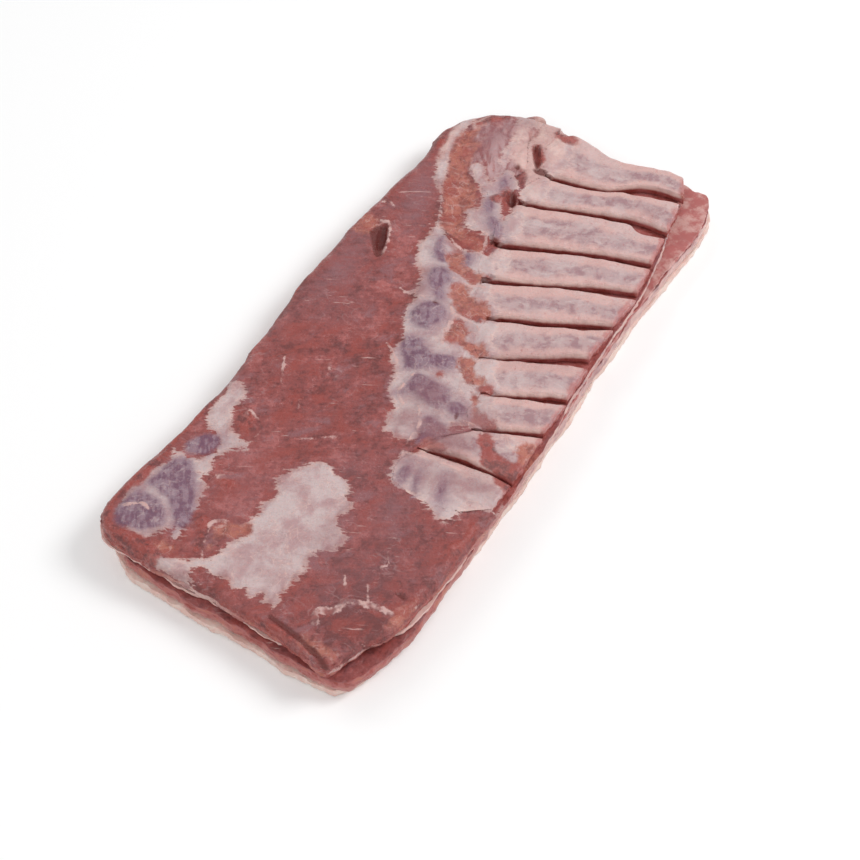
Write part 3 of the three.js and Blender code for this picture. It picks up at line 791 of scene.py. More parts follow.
def pressed_in(points, z, hollows):
    """Lowers a height wherever a hollow lies in it."""
    for x, y, level, long, wide, deep, turn in hollows:
        ahead, aside = turned(points, x, y, turn)
        within = np.clip(1 - (ahead / long) ** 2 - (aside / wide) ** 2, 0, 1)
        z = np.where(within > 0, np.minimum(z, level - deep * np.sqrt(within)), z)
    return z


# Bodies

def grid_body(columns, rows, rings):
    """A flat gridded face with rings of faces round its rim, and one face that closes the last ring."""
    bm = bmesh.new()
    u, v, ring = (bm.verts.layers.float.new(name) for name in ("u", "v", "ring"))
    bmesh.ops.create_grid(bm, x_segments=columns, y_segments=rows, size=0.5)
    for vert in bm.verts:
        vert[u] = round((vert.co.x + 0.5) * columns) / columns
        vert[v] = round((vert.co.y + 0.5) * rows) / rows
    return close_with_rings(bm, ring, [edge for edge in bm.edges if edge.is_boundary], rings)


def ring_body(count, rings):
    """A many-sided face with rings of faces round it, and one face that closes the last ring."""
    bm = bmesh.new()
    u, v, ring = (bm.verts.layers.float.new(name) for name in ("u", "v", "ring"))
    bmesh.ops.create_circle(bm, segments=count, radius=1)
    for vert in bm.verts:
        vert[u] = round(math.atan2(vert.co.y, vert.co.x) / math.tau * count) % count * 4 / count
    rim = bm.edges[:]
    bmesh.ops.contextual_create(bm, geom=rim)
    return close_with_rings(bm, ring, rim, rings)


def close_with_rings(bm, ring, rim, rings):
    for number in range(1, rings + 1):
        grown = bmesh.ops.extrude_edge_only(bm, edges=rim)["geom"]
        for vert in grown:
            if isinstance(vert, bmesh.types.BMVert):
                vert[ring] = number
        rim = [edge for edge in grown if isinstance(edge, bmesh.types.BMEdge)]
    bmesh.ops.contextual_create(bm, geom=rim)
    return bm


def read_places(bm):
    """The shares u and v and the ring number of each point of a body."""
    layers = [bm.verts.layers.float[name] for name in ("u", "v", "ring")]
    u, v, ring = (np.array([vert[layer] for vert in bm.verts]) for layer in layers)
    return u, v, ring.round().astype(int)


def make_piece(name, bm, places, paint, finish):
    """Turns a shaped bmesh into a finished piece that stands for the CAD node of its name."""
    for vert, place in zip(bm.verts, (places - CENTRE) * MM):
        vert.co = place
    for layer in ("u", "v", "ring"):
        bm.verts.layers.float.remove(bm.verts.layers.float[layer])
    bmesh.ops.recalc_face_normals(bm, faces=bm.faces)
    mesh = bpy.data.meshes.new(name + "_piece")
    bm.to_mesh(mesh)
    bm.free()
    mesh.shade_smooth()
    mesh.set_sharp_from_angle(angle=SHARP)
    for attribute, values in paint.items():
        layer = mesh.attributes.new(attribute, "FLOAT", "POINT")
        layer.data.foreach_set("value", np.asarray(values, np.float32))
    mesh.materials.append(finish)
    piece = bpy.data.objects.new(name + "_piece", mesh)
    bpy.context.scene.collection.objects.link(piece)
    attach(piece, "root")
    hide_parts(name)


# Finishes

class Finish:
    """A procedural material in the making. Its helpers add one node each and give back its output."""

    def __init__(self, name):
        self.material = bpy.data.materials.new(name)
        self.material.use_nodes = True
        self.tree = self.material.node_tree
        self.shader = self.tree.nodes["Principled BSDF"]
        self.place = self.node("ShaderNodeTexCoord").outputs["Object"]

    def node(self, kind, feeds=(), **settings):
        node = self.tree.nodes.new(kind)
        for key, value in settings.items():
            setattr(node, key, value)
        for socket, value in dict(feeds).items():
            self.feed(node.inputs[socket], value)
        return node

    def feed(self, socket, value):
        if isinstance(value, bpy.types.NodeSocket):
            self.tree.links.new(value, socket)
        else:
            socket.default_value = value

    def stretched(self, turn, length, height=1.0):
        """The place on the piece, for a pattern drawn out by a length along a turn about Z."""
        feeds = {"Vector": self.place, "Rotation": (0, 0, math.radians(turn)), "Scale": (length, 1, height)}
        return self.node("ShaderNodeMapping", feeds, vector_type="TEXTURE").outputs[0]

    def noise(self, scale, detail=3.0, roughness=0.55, place=None, distortion=0.0):
        feeds = {
            "Vector": place or self.place, "Scale": scale, "Detail": detail,
            "Roughness": roughness, "Distortion": distortion,
        }
        return self.node("ShaderNodeTexNoise", feeds).outputs["Fac"]

    def attribute(self, name):
        return self.node("ShaderNodeAttribute", attribute_name=name).outputs["Fac"]

    def math(self, operation, a, b=0.0, c=0.0):
        return self.node("ShaderNodeMath", {0: a, 1: b, 2: c}, operation=operation).outputs[0]

    def sway(self, pattern, amount, onto=0.0):
        """A pattern from 0 to 1 made to sway both ways by an amount, added onto a value."""
        return self.math("MULTIPLY_ADD", self.math("SUBTRACT", pattern, 0.5), 2 * amount, onto)

    def between(self, value, low, high, out_low=0.0, out_high=1.0):
        feeds = {0: value, 1: low, 2: high, 3: out_low, 4: out_high}
        return self.node("ShaderNodeMapRange", feeds, interpolation_type="SMOOTHSTEP").outputs[0]

    def mix(self, share, a, b):
        """A mix of two colours. Each one is an output, or the name of a colour setting."""
        a, b = (getattr(colours(), side)[:] if isinstance(side, str) else side for side in (a, b))
        return self.node("ShaderNodeMix", {0: share, 6: a, 7: b}, data_type="RGBA").outputs[2]

    def times(self, *values):
        product = values[0]
        for value in values[1:]:
            product = self.math("MULTIPLY", product, value)
        return product

    def finish(self, colour, roughness, bumps, subsurface=0.1):
        """Feeds the shader. Bumps are pairs of a height from 0 to 1 and its depth in millimetres."""
        normal = None
        for height, depth in bumps:
            feeds = {"Height": height, "Strength": 1.0, "Distance": depth * MM}
            if normal:
                feeds["Normal"] = normal
            normal = self.node("ShaderNodeBump", feeds).outputs[0]
        self.feed(self.shader.inputs["Base Color"], colour)
        self.feed(self.shader.inputs["Roughness"], roughness)
        self.feed(self.shader.inputs["Normal"], normal)
        self.shader.inputs["Subsurface Weight"].default_value = subsurface
        self.shader.inputs["Subsurface Radius"].default_value = (1.0, 0.35, 0.25)
        self.shader.inputs["Subsurface Scale"].default_value = 2 * MM
        self.shader.inputs["Specular IOR Level"].default_value = 0.4
        return self.material


class MeatFinish(Finish):
    """A finish with the patterns that all of the meat shares."""

    def __init__(self, name):
        super().__init__(name)
        self.broad = self.noise(24, 3)
        self.cloud = self.noise(42, 5, 0.62, None, 0.4)
        self.patches = self.noise(64, 6, 0.66, self.stretched(150, 1.6), 0.5)
        self.mottle = self.noise(105, 5, 0.66)
        self.specks = self.noise(330, 4, 0.7)
        self.fibres = self.noise(430, 4, 0.65, self.stretched(122, 8), 0.3)
        self.threads = self.noise(230, 5, 0.68, self.stretched(118, 3), 0.8)
        self.fine = self.noise(820, 3)
        self.net = self.times(self.lines(58, 0.026, 1.4), self.between(self.mottle, 0.42, 0.56))
        fringe = self.sway(self.noise(62, 3), 2.6)
        fringe = self.sway(self.mottle, 3.4, fringe)
        fringe = self.sway(self.threads, 3.2, fringe)
        self.fringe = self.sway(self.fine, 1.0, fringe)

    def lines(self, scale, width, distortion=0.8, place=None):
        """Fine wandering lines, from 0 to 1."""
        pattern = self.noise(scale, 2, 0.5, place, distortion)
        return self.between(self.math("ABSOLUTE", self.math("SUBTRACT", pattern, 0.5)), 0, width, 1, 0)

    def depth(self, name, ragged=1.0):
        """How deep inside a region a place lies, in millimetres, with a border that runs into the fibres."""
        return self.math("MULTIPLY_ADD", self.fringe, ragged, self.attribute(name))

    def lean(self):
        """Damp lean meat with its grain, its paler and darker parts, films and white flecks."""
        tone = self.sway(self.broad, 1.5, self.attribute("paler"))
        tone = self.sway(self.mottle, 3.4, self.sway(self.cloud, 1.2, tone))
        tone = self.sway(self.fibres, 1.5, self.sway(self.specks, 2.2, tone))
        base = self.mix(self.between(tone, -1.5, 0.1), "lean_dark", "lean")
        base = self.mix(self.between(tone, 0.1, 1.7), base, "lean_pale")
        base = self.mix(self.between(self.patches, 0.48, 0.64, 0, 0.75), base, "red")
        film = self.times(self.attribute("film"), self.between(self.threads, 0.3, 0.62, 0.3, 1.0))
        base = self.mix(film, base, "film")
        base = self.mix(self.between(self.patches, 0.46, 0.34, 0, 0.7), base, "film")
        hairs = self.lines(90, 0.02, 0.6, self.stretched(100, 2))
        hairs = self.times(hairs, self.between(self.cloud, 0.5, 0.6, 0, 0.3))
        base = self.mix(hairs, base, "skin_thin")
        flecks = self.between(self.noise(520, 2, 0.5, self.stretched(120, 9)), 0.65, 0.73, 0, 0.75)
        sparse = self.between(self.noise(38, 2), 0.5, 0.62)
        return self.mix(self.times(flecks, sparse), base, "bone_edge")

    def skin(self, base):
        """Silvery skin over a base, thin in places, with a paler lip and pale threads, and where it is."""
        depth = self.sway(self.fibres, 5, self.sway(self.threads, 5, self.depth("skin", 1.2)))
        thickness = self.sway(self.mottle, 6, self.sway(self.cloud, 9, self.attribute("skin")))
        share = self.times(self.between(depth, -0.8, 0.8), self.between(thickness, -2, 6, 0.5, 1.0))
        colour = self.mix(self.between(self.cloud, 0.36, 0.58), "skin_thin", "skin")
        colour = self.mix(self.between(self.mottle, 0.5, 0.66, 0, 0.4), colour, "bone_edge")
        lip = self.times(self.between(depth, -0.6, 0.4), self.between(depth, 0.8, 3.4, 0.7, 0))
        colour = self.mix(self.math("MAXIMUM", lip, self.times(self.net, 0.5)), colour, "fat")
        return self.mix(share, base, colour), share

    def gristle(self, base):
        """Mauve gristle over a base, darkest in its middle, with pale threads across it."""
        share = self.between(self.sway(self.cloud, 4, self.depth("gristle", 0.7)), -1.8, 3.2, 0, 0.95)
        stripes = self.noise(260, 4, 0.62, self.stretched(36, 4), 0.5)
        colour = self.mix(
            self.between(self.sway(self.mottle, 0.7, stripes), 0.34, 0.62), "gristle_dark", "gristle"
        )
        colour = self.mix(self.between(self.specks, 0.52, 0.68, 0, 0.4), colour, "film")
        threads = self.math("MAXIMUM", self.net, self.between(self.threads, 0.54, 0.68, 0, 0.6))
        return self.mix(share, base, self.mix(self.times(threads, 0.4), colour, "skin"))

    def ember(self, base):
        """The orange brown meat between the rib heads, lumpy and marbled."""
        share = self.between(self.sway(self.mottle, 5, self.depth("ember", 0.8)), -2.0, 3.0, 0, 0.95)
        lumps = self.noise(125, 5, 0.66, None, 0.6)
        colour = self.mix(self.between(lumps, 0.36, 0.56), "ember_dark", "ember")
        colour = self.mix(self.between(self.patches, 0.48, 0.6, 0, 0.7), colour, "red")
        colour = self.mix(self.between(self.specks, 0.48, 0.64, 0, 0.6), colour, "lean_pale")
        threads = self.math("MAXIMUM", self.net, self.between(self.threads, 0.56, 0.7, 0, 0.7))
        return self.mix(share, base, self.mix(self.times(threads, 0.5), colour, "bone_edge"))

    def cover(self, base):
        """Lays skin, gristle, ember meat, fat, red rims, gashes and ridges over a base."""
        base, skin = self.skin(base)
        halo = self.times(skin, self.between(self.depth("gristle", 1.4), -8, 0, 0, 0.42))
        base = self.ember(self.gristle(self.mix(halo, base, "gristle")))
        pink = self.between(self.sway(self.mottle, 0.5, self.attribute("pink")), 0.2, 0.8, 0, 0.9)
        fat = self.mix(self.between(self.cloud, 0.4, 0.6), "bone_edge", "fat")
        base = self.mix(pink, base, fat)
        base = self.mix(self.sway(self.mottle, 0.3, self.attribute("dull")), base, "film")
        rim = self.mix(self.between(self.mottle, 0.4, 0.54), "lean_dark", "red")
        rim = self.mix(self.between(self.specks, 0.48, 0.64, 0, 0.6), rim, "lean_pale")
        base = self.mix(self.between(self.depth("red", 0.7), -1.6, 1.8, 0, 0.9), base, rim)
        base = self.mix(self.between(self.depth("gash", 0.35), -1.0, 1.0, 0, 0.88), base, "gash")
        broken = self.between(self.noise(85, 3), 0.4, 0.56, 0.1, 0.95)
        ridge = self.sway(self.specks, 2.0, self.sway(self.mottle, 3.4, self.attribute("ridge")))
        ridge = self.between(ridge, -0.5, 0.8)
        return self.mix(self.times(ridge, broken), base, "bone_edge")

    def side(self):
        """The cut side of a layer of lean: dark meat and soft pale streaks along the cut, and the streaks."""
        streaks = self.noise(60, 5, 0.62, self.stretched(0, 3, 0.45), 0.5)
        tone = self.sway(self.specks, 0.3, self.sway(self.mottle, 0.6, streaks))
        fatty = self.attribute("fatty")
        base = self.mix(self.between(tone, 0.34, 0.5), "red", "lean_pale")
        base = self.mix(self.between(tone, 0.5, 0.7, 0, 0.9), base, "ember")
        pale = self.mix(self.between(tone, 0.35, 0.62), "skin_thin", "bone_edge")
        pale = self.mix(self.between(self.cloud, 0.46, 0.6, 0, 0.8), pale, "fat")
        return self.mix(self.times(fatty, self.between(streaks, 0.3, 0.48, 0.55, 0.96)), base, pale), streaks


def face_finish(name):
    """The face of the upper lean: dark grained meat, silvery skin, gristle and torn spots."""
    finish = MeatFinish(name)
    base = finish.cover(finish.lean())
    side, _ = finish.side()
    base = finish.mix(finish.between(finish.attribute("below"), 2.5, 6), base, side)
    floor = finish.mix(finish.between(finish.mottle, 0.4, 0.6), "red", "lean_pale")
    base = finish.mix(finish.between(finish.attribute("bed"), 3.0, 6.0), base, floor)
    roughness = finish.between(finish.mottle, 0.4, 0.6, 0.42, 0.22)
    bumps = [(finish.fibres, 0.7), (finish.threads, 0.8), (finish.mottle, 1.6), (finish.specks, 0.5)]
    return finish.finish(base, roughness, bumps)


def bone_finish(name):
    """A rib in its thin skin: pale along the edges with a painted highlight on its rounded sides, mauve and
    marked in the middle, red down its sides with painted shade deep down them.
    """
    finish = MeatFinish(name)
    marks = finish.noise(130, 5, 0.62, finish.stretched(-62, 2.2), 0.8)
    across = finish.sway(finish.cloud, 0.3, finish.attribute("across"))
    off_middle = finish.math("ABSOLUTE", finish.math("SUBTRACT", across, 0.42))
    mottled = finish.sway(finish.mottle, 0.6, marks)
    middle = finish.mix(finish.between(mottled, 0.4, 0.7), "bone_middle", "bone_mark")
    middle = finish.mix(finish.between(marks, 0.46, 0.34, 0, 0.7), middle, "skin")
    bone = finish.mix(finish.between(off_middle, 0.12, 0.32), middle, "bone_edge")
    bone = finish.mix(finish.between(finish.noise(34, 3), 0.48, 0.62, 0, 0.45), bone, "skin")
    bone = finish.mix(finish.between(finish.specks, 0.42, 0.3, 0, 0.5), bone, "lean_pale")
    # Painted highlight: a pale band of fat colour along each rib's rounded sides, where light would catch the
    # rim.
    lip = finish.between(finish.sway(finish.mottle, 1.6, finish.attribute("to_side")), 0.6, 2.8, 0.75, 0)
    bone = finish.mix(lip, bone, "fat")
    tail = finish.between(finish.sway(finish.mottle, 9, finish.attribute("to_tail")), 5, 0, 0, 0.75)
    bone = finish.mix(tail, bone, "lean_pale")
    head = finish.between(finish.math("ADD", finish.fringe, finish.attribute("to_head")), 2, 6)
    base = finish.cover(finish.mix(head, finish.lean(), bone))
    wall = finish.mix(finish.between(finish.mottle, 0.4, 0.58), "red", "lean_pale")
    base = finish.mix(finish.between(finish.attribute("below"), 1.0, 3.2), base, wall)
    # Painted shade: the deep red gash colour is laid on the rib's sides, more of it the deeper they go into
    # the narrow cuts between the ribs.
    base = finish.mix(finish.between(finish.attribute("below"), 5.0, 9.0, 0, 0.4), base, "gash")
    roughness = finish.between(finish.mottle, 0.4, 0.6, 0.4, 0.22)
    bumps = [(finish.threads, 0.5), (marks, 0.6), (finish.mottle, 1.3), (finish.specks, 0.35)]
    return finish.finish(base, roughness, bumps)


def gristle_finish(name):
    """The breastbone: pale pink gristle with red meat and skin drawn over it."""
    finish = MeatFinish(name)
    streaks = finish.noise(95, 5, 0.65, finish.stretched(28, 2.6), 0.9)
    base = finish.mix(finish.between(streaks, 0.4, 0.66), finish.lean(), "skin_thin")
    base = finish.mix(finish.between(finish.mottle, 0.5, 0.7, 0, 0.6), base, "bone_edge")
    base = finish.cover(base)
    side, _ = finish.side()
    base = finish.mix(finish.between(finish.attribute("below"), 2, 5), base, side)
    bumps = [(streaks, 1.0), (finish.mottle, 1.5), (finish.specks, 0.4)]
    return finish.finish(base, finish.between(finish.mottle, 0.3, 0.7, 0.46, 0.34), bumps)


def side_finish(name):
    """The lower lean, which shows at the slab's sides and under the flap."""
    finish = MeatFinish(name)
    base, streaks = finish.side()
    low = finish.between(finish.sway(streaks, 4, finish.attribute("below")), 6, 12, 0, 0.5)
    base = finish.mix(low, base, "bone_edge")
    base = finish.mix(finish.between(finish.attribute("below"), 0.6, 2.4), finish.lean(), base)
    bumps = [(streaks, 1.0), (finish.mottle, 0.8), (finish.specks, 0.25)]
    return finish.finish(base, 0.42, bumps)


def fat_finish(name, base_name, tint_name, tint_share, tint_everywhere=1.0):
    """Firm fat or rind: pale, with creases, pores and pink stains, most of them where the side is fatty."""
    finish = MeatFinish(name)
    creases = finish.noise(120, 5, 0.65, finish.stretched(80, 2.5, 0.6), 0.6)
    stain = finish.sway(finish.mottle, 0.6, finish.noise(40, 5, 0.6))
    amount = finish.between(finish.attribute("fatty"), 0.2, 0.8, tint_everywhere, 1.0)
    share = finish.times(finish.between(stain, 0.3, 0.6, tint_share - 0.5, tint_share), amount)
    base = finish.mix(share, base_name, tint_name)
    base = finish.mix(finish.between(creases, 0.54, 0.72, 0, 0.3), base, "skin_thin")
    pores = finish.node("ShaderNodeTexVoronoi", {"Vector": finish.place, "Scale": 520}).outputs["Distance"]
    return finish.finish(base, 0.45, [(creases, 0.4), (pores, 0.1), (finish.fine, 0.08)])


# Pieces

def outline_layer(name, phase, bottom, top, bulge, finish):
    """A layer of the slab that shows at its sides: rings down its edge, and flat above and below."""
    edges = layer_edges(name, phase)
    inward = [(inset, top) for inset in TOP_INSETS] + [(TOP_RIM[0], top - TOP_RIM[1])]
    heights = np.linspace(0.05, 0.95, LAYER_WALL_RINGS)
    wall = [(0.3 * (1 - math.sin(math.pi * t)) ** 2, bottom + (top - bottom) * (1 - t)) for t in heights]
    profile = inward + wall + [(inset, bottom) for inset in UNDER_INSETS]
    bm = ring_body(LAYER_POINTS, len(profile) - 1)
    turns, _, ring = read_places(bm)
    inset = np.array([p[0] for p in profile])[ring]
    z = np.array([p[1] for p in profile])[ring]
    on_wall = (ring >= len(inward)) & (ring < len(inward) + len(wall))
    middle = 1 - np.abs((z - bottom) / (top - bottom) * 2 - 1)
    spot = inset_patch(edges, *border_shares(turns), inset)
    flat = np.column_stack([border(edges, turns), z * 1.6])
    ragged = rough(flat, 9, phase) * 1.2 + rough(flat, 3.5, phase + 0.5) * 0.7
    xy = spot + outward_at(edges, turns) * np.where(on_wall, bulge * middle + ragged, 0)[:, None]
    ruffle = rough(np.column_stack([xy, z]), 9, phase + 7) * 0.6 - 0.3
    z = np.clip(z + ruffle * (ring < len(inward)), bottom, top)
    paint = face_paint(xy, {}, top - z)
    make_piece(name, bm, np.column_stack([xy, z]), paint, finish)


class SLAB_OT_rind(bpy.types.Operator):
    """Adds the rind with its back fat, which the slab lies on"""

    bl_idname = "slab.rind"
    bl_label = "Rind"

    def execute(self, context):
        finish = fat_finish("rind", "rind", "rind_pink", 0.8)
        outline_layer("rind_fat", 1, 0, mm(sizes().rind_top), 0.5, finish)
        return {"FINISHED"}


class SLAB_OT_lower_lean(bpy.types.Operator):
    """Adds the lower lean, which shows at the sides and under the flap"""

    bl_idname = "slab.lower_lean"
    bl_label = "Lower lean"

    def execute(self, context):
        finish = side_finish("side_lean")
        bottom = mm(sizes().rind_top) + GAP
        outline_layer("lower_lean", 2, bottom, mm(sizes().lean_top), 0.4, finish)
        return {"FINISHED"}


class SLAB_OT_fat_seam(bpy.types.Operator):
    """Adds the thin seam of fat between the two leans"""

    bl_idname = "slab.fat_seam"
    bl_label = "Fat seam"

    def execute(self, context):
        finish = fat_finish("seam_fat", "fat", "lean_pale", 1.0, 0.3)
        bottom = mm(sizes().lean_top) + GAP
        outline_layer("fat_seam", 3, bottom, mm(sizes().seam_top), 0.3, finish)
        return {"FINISHED"}


class SLAB_OT_upper_lean(bpy.types.Operator):
    """Adds the upper lean with its face, the bed of the ribs and the loose flap"""

    bl_idname = "slab.upper_lean"
    bl_label = "Upper lean"

    def execute(self, context):
        face = Face()
        cell = mm(sizes().cell)
        insets = np.array([0.0] * (WALL_RINGS + 1) + UNDERSIDE_INSETS)
        length, width = UPPER_LEAN_SPAN
        bm = grid_body(round(length / cell), round(width / cell), len(insets) - 1)
        u, v, ring = read_places(bm)
        points = patch(face.edges, u, v)
        depths = region_depths(points)
        open_face = face.height(points, depths)
        top = pressed_in(points, open_face, HOLLOWS)
        bed = mm(sizes().bed)
        ragged = rough(on_face(points), 4, 8) * 0.2
        for hole, floor in ((face.bed, bed), (face.breastbone, BREASTBONE_UNDERSIDE - GAP)):
            sunk = smoothstep(depth_in(points, hole) + ragged, *HOLE_WALL)
            top = top + (np.minimum(top, floor) - top) * sunk
        top = np.maximum(top, bed)

        share = np.clip(ring / WALL_RINGS, 0, 1)
        out = outward_at(face.edges, border_turns(u, v))
        flat = np.column_stack([points, top * (1 - share) * 1.6])
        rim_noise = rough(flat, 8, 41) * 1.3 + rough(flat, 3, 42) * 0.8
        bulge = np.where((ring > 0) & (ring <= WALL_RINGS), 0.5 * np.sin(math.pi * share) + rim_noise, 0)
        xy = inset_patch(face.edges, u, v, insets[ring]) + out * bulge[:, None]
        seam = mm(sizes().seam_top) + GAP
        gap_x, gap_y, level, *reach = FLAP_GAP
        underside = -pressed_in(xy, np.full(len(xy), -seam), [(gap_x, gap_y, -level, *reach)])
        z = top + (underside - top) * share
        below = np.maximum(mm(sizes().face) - SIDE_DROP - z, 0) * (ring > 0)
        paint = face_paint(points, depths, below)
        paint["bed"] = np.where(ring == 0, open_face - top - 1.5, 0)
        at_start = smoothstep(-points[:, 0], 235, 250)
        middle, half = START_WEDGE
        wedge = at_start * np.exp(-(((points[:, 1] - middle) / half) ** 2))
        paint["fatty"] = np.maximum(paint["fatty"], wedge)
        flap = flap_at(points, FLAP[4])
        paint["ridge"] = np.maximum(paint["ridge"], 5 * (flap + share - 1.35))
        make_piece("upper_lean", bm, np.column_stack([xy, z]), paint, face_finish("face_lean"))
        return {"FINISHED"}


class SLAB_OT_ribs(bpy.types.Operator):
    """Adds the ribs, side by side with the open cuts between them"""

    bl_idname = "slab.ribs"
    bl_label = "Ribs"

    def execute(self, context):
        face = Face()
        finish = bone_finish("rib_bone")
        for i in range(len(CUTS) - 1):
            self.add_rib(i, face, finish)
        return {"FINISHED"}

    def add_rib(self, i, face, finish):
        edges = rib_edges(i)
        length = np.linalg.norm(np.diff(edges["near"], axis=0), axis=1).sum()
        width = np.linalg.norm(edges["start"][-1] - edges["start"][0])
        bm = grid_body(round(length / RIB_CELL[0]), round(width / RIB_CELL[1]), WALL_RINGS + 1)
        u, v, ring = read_places(bm)
        points = patch(edges, u, v)
        depths = region_depths(points)
        side = np.minimum(v, 1 - v) * width
        from_head, from_tail = u * length, (1 - u) * length
        crown = RIB_CROWN * (2 * v - 1) ** 2
        lip = 0.5 * np.exp(-(((side - 3.0) / 1.3) ** 2))
        dents = rough(on_face(points), 13, 51 + i) * 0.9 + rough(on_face(points, 0.6), 4.5, 52) * 0.6
        torn = 0.6 * smoothstep(depths["ember"], -1, 2) + 0.6 * smoothstep(depths["red"], -1, 2)
        ridge = 0.6 * smoothstep(depths["ridge"], -0.8, 0.8)
        rib_top = mm(sizes().rib_top) - crown + lip + dents - torn + ridge
        bony = smoothstep(from_head, 1, 10) * (smoothstep(v * width, 1, 9) if i == 0 else 1)
        joined = face.height(points, depths) - JOIN_DROP
        top = joined + (rib_top - joined) * bony
        top -= roll_off(np.minimum(side + 3 * (1 - bony), from_tail + 0.6), RIB_ROUNDING)
        bottom = mm(sizes().bed) + GAP
        share = np.clip(ring / WALL_RINGS, 0, 1)
        z = top + (bottom - top) * share
        wave = np.column_stack([points, z])
        ripple = rough(wave, 5, 53) * 0.5 + rough(wave, 2.2, 54) * 0.25
        ripple = ripple * (1 + 1.6 * smoothstep(-from_tail, -5, 0))
        on_wall = (ring > 0) & (ring <= WALL_RINGS)
        shift = np.where(on_wall, ripple - 0.6 * share, ripple * (side < 1.5) * (ring == 0))
        out = outward_at(edges, border_turns(u, v), 0.015)
        xy = inset_patch(edges, u, v, np.where(ring > WALL_RINGS, 2.5, 0.0)) + out * shift[:, None]
        # How far down the rib's side a point lies. The finish also paints shade from it deep in the cuts.
        below = np.maximum(mm(sizes().rib_top) - RIB_SIDE_DROP - z, 0) * smoothstep(from_head, 2, 12)
        paint = face_paint(points, depths, np.maximum(below, 2 * share))
        paint.update(across=v, to_side=side, to_head=from_head, to_tail=from_tail)
        make_piece(f"rib_{len(CUTS) - 1 - i:02d}", bm, np.column_stack([xy, z]), paint, finish)


class SLAB_OT_breastbone(bpy.types.Operator):
    """Adds the breastbone at the slab's end"""

    bl_idname = "slab.breastbone"
    bl_label = "Breastbone"

    def execute(self, context):
        face = Face()
        edges = breastbone_edges()
        bm = grid_body(*BREASTBONE_CELLS, BREASTBONE_WALL_RINGS + 1)
        u, v, ring = read_places(bm)
        points = patch(edges, u, v)
        depths = region_depths(points)
        inner = smoothstep(depth_in(points, face.breastbone), 0, 6)
        folds = rough(on_face(points, 1.6), 9, 61) * 1.1 + rough(on_face(points), 4, 62) * 0.5
        top = face.height(points, depths) + folds * inner - JOIN_DROP * (1 - inner)
        top = pressed_in(points, top, [BREASTBONE_HOLE])
        share = np.clip(ring / BREASTBONE_WALL_RINGS, 0, 1)
        z = top + (BREASTBONE_UNDERSIDE - top) * share
        xy = inset_patch(edges, u, v, np.where(ring > BREASTBONE_WALL_RINGS, 3.0, 0.0))
        below = np.maximum(mm(sizes().face) - SIDE_DROP - z, 0) * (ring > 0)
        paint = face_paint(points, depths, below)
        make_piece("breastbone", bm, np.column_stack([xy, z]), paint, gristle_finish("gristle"))
        return {"FINISHED"}


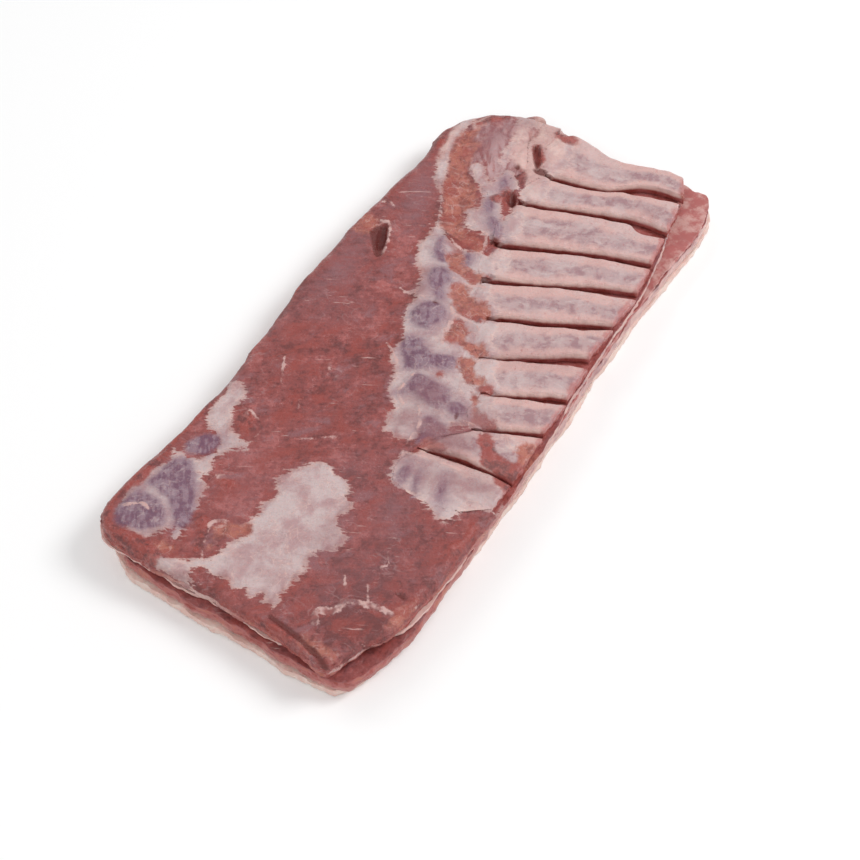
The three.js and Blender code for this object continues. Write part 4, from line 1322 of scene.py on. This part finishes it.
class SLAB_OT_stage(bpy.types.Operator):
    """Adds the pale floor, the soft lights and the camera"""

    bl_idname = "slab.stage"
    bl_label = "Stage"

    def execute(self, context):
        scene = context.scene
        stage = scene.slab_stage
        bm = bmesh.new()
        bmesh.ops.create_grid(bm, x_segments=1, y_segments=1, size=FLOOR_HALF)
        mesh = bpy.data.meshes.new("floor")
        bm.to_mesh(mesh)
        bm.free()
        floor = bpy.data.objects.new("floor", mesh)
        finish = bpy.data.materials.new("floor")
        finish.use_nodes = True
        shader = finish.node_tree.nodes["Principled BSDF"]
        shader.inputs["Base Color"].default_value = FLOOR_COLOUR
        shader.inputs["Roughness"].default_value = FLOOR_ROUGHNESS
        mesh.materials.append(finish)
        scene.collection.objects.link(floor)

        target = Vector(TARGET) - Vector(CENTRE) * MM
        back = Vector((
            math.sin(stage.azimuth) * math.cos(stage.elevation),
            -math.cos(stage.azimuth) * math.cos(stage.elevation),
            math.sin(stage.elevation),
        ))
        camera = bpy.data.objects.new("camera", bpy.data.cameras.new("camera"))
        camera.data.lens = stage.lens
        camera.data.clip_end = CLIP_END
        camera.location = target + back * stage.distance
        camera.rotation_euler = back.to_track_quat("Z", "Y").to_euler()
        scene.collection.objects.link(camera)
        scene.camera = camera

        for name, (size, place) in LIGHTS.items():
            self.add_light(name, getattr(stage, name), size, Vector(place))
        scene.world = bpy.data.worlds.new("sky")
        scene.world.use_nodes = True
        background = scene.world.node_tree.nodes["Background"]
        background.inputs["Color"].default_value = (1, 1, 1, 1)
        background.inputs["Strength"].default_value = stage.sky
        scene.view_settings.view_transform = "Standard"
        return {"FINISHED"}

    def add_light(self, name, power, size, place):
        light = bpy.data.objects.new(name, bpy.data.lights.new(name, "AREA"))
        light.data.energy = power
        light.data.size = size
        light.location = place
        light.rotation_euler = place.to_track_quat("Z", "Y").to_euler()
        bpy.context.scene.collection.objects.link(light)


PIECES = (
    SLAB_OT_rind, SLAB_OT_lower_lean, SLAB_OT_fat_seam, SLAB_OT_upper_lean, SLAB_OT_ribs, SLAB_OT_breastbone,
    SLAB_OT_stage,
)


class SLAB_PT_pieces(bpy.types.Panel):
    """Lists the slab's pieces and its settings."""

    bl_idname = "SLAB_PT_pieces"
    bl_label = "Pork rib slab"
    bl_space_type = "VIEW_3D"
    bl_region_type = "UI"
    bl_category = "Pork slab"

    def draw(self, context):
        layout = self.layout
        for piece in PIECES:
            layout.operator(piece.bl_idname)
        for group in (context.scene.slab_sizes, context.scene.slab_colours, context.scene.slab_stage):
            box = layout.box()
            for name in group.bl_rna.properties.keys():
                if name not in ("rna_type", "name"):
                    box.prop(group, name)


CLASSES = (SlabSizes, SlabColours, SlabStage, *PIECES, SLAB_PT_pieces)


def register():
    for cls in CLASSES:
        bpy.utils.register_class(cls)
    bpy.types.Scene.slab_sizes = PointerProperty(type=SlabSizes)
    bpy.types.Scene.slab_colours = PointerProperty(type=SlabColours)
    bpy.types.Scene.slab_stage = PointerProperty(type=SlabStage)


def unregister():
    del bpy.types.Scene.slab_stage
    del bpy.types.Scene.slab_colours
    del bpy.types.Scene.slab_sizes
    for cls in reversed(CLASSES):
        bpy.utils.unregister_class(cls)


def main():
    register()
    bpy.ops.slab.rind()
    bpy.ops.slab.lower_lean()
    bpy.ops.slab.fat_seam()
    bpy.ops.slab.upper_lean()
    bpy.ops.slab.ribs()
    bpy.ops.slab.breastbone()
    bpy.ops.slab.stage()


if __name__ == "__main__":
    main()
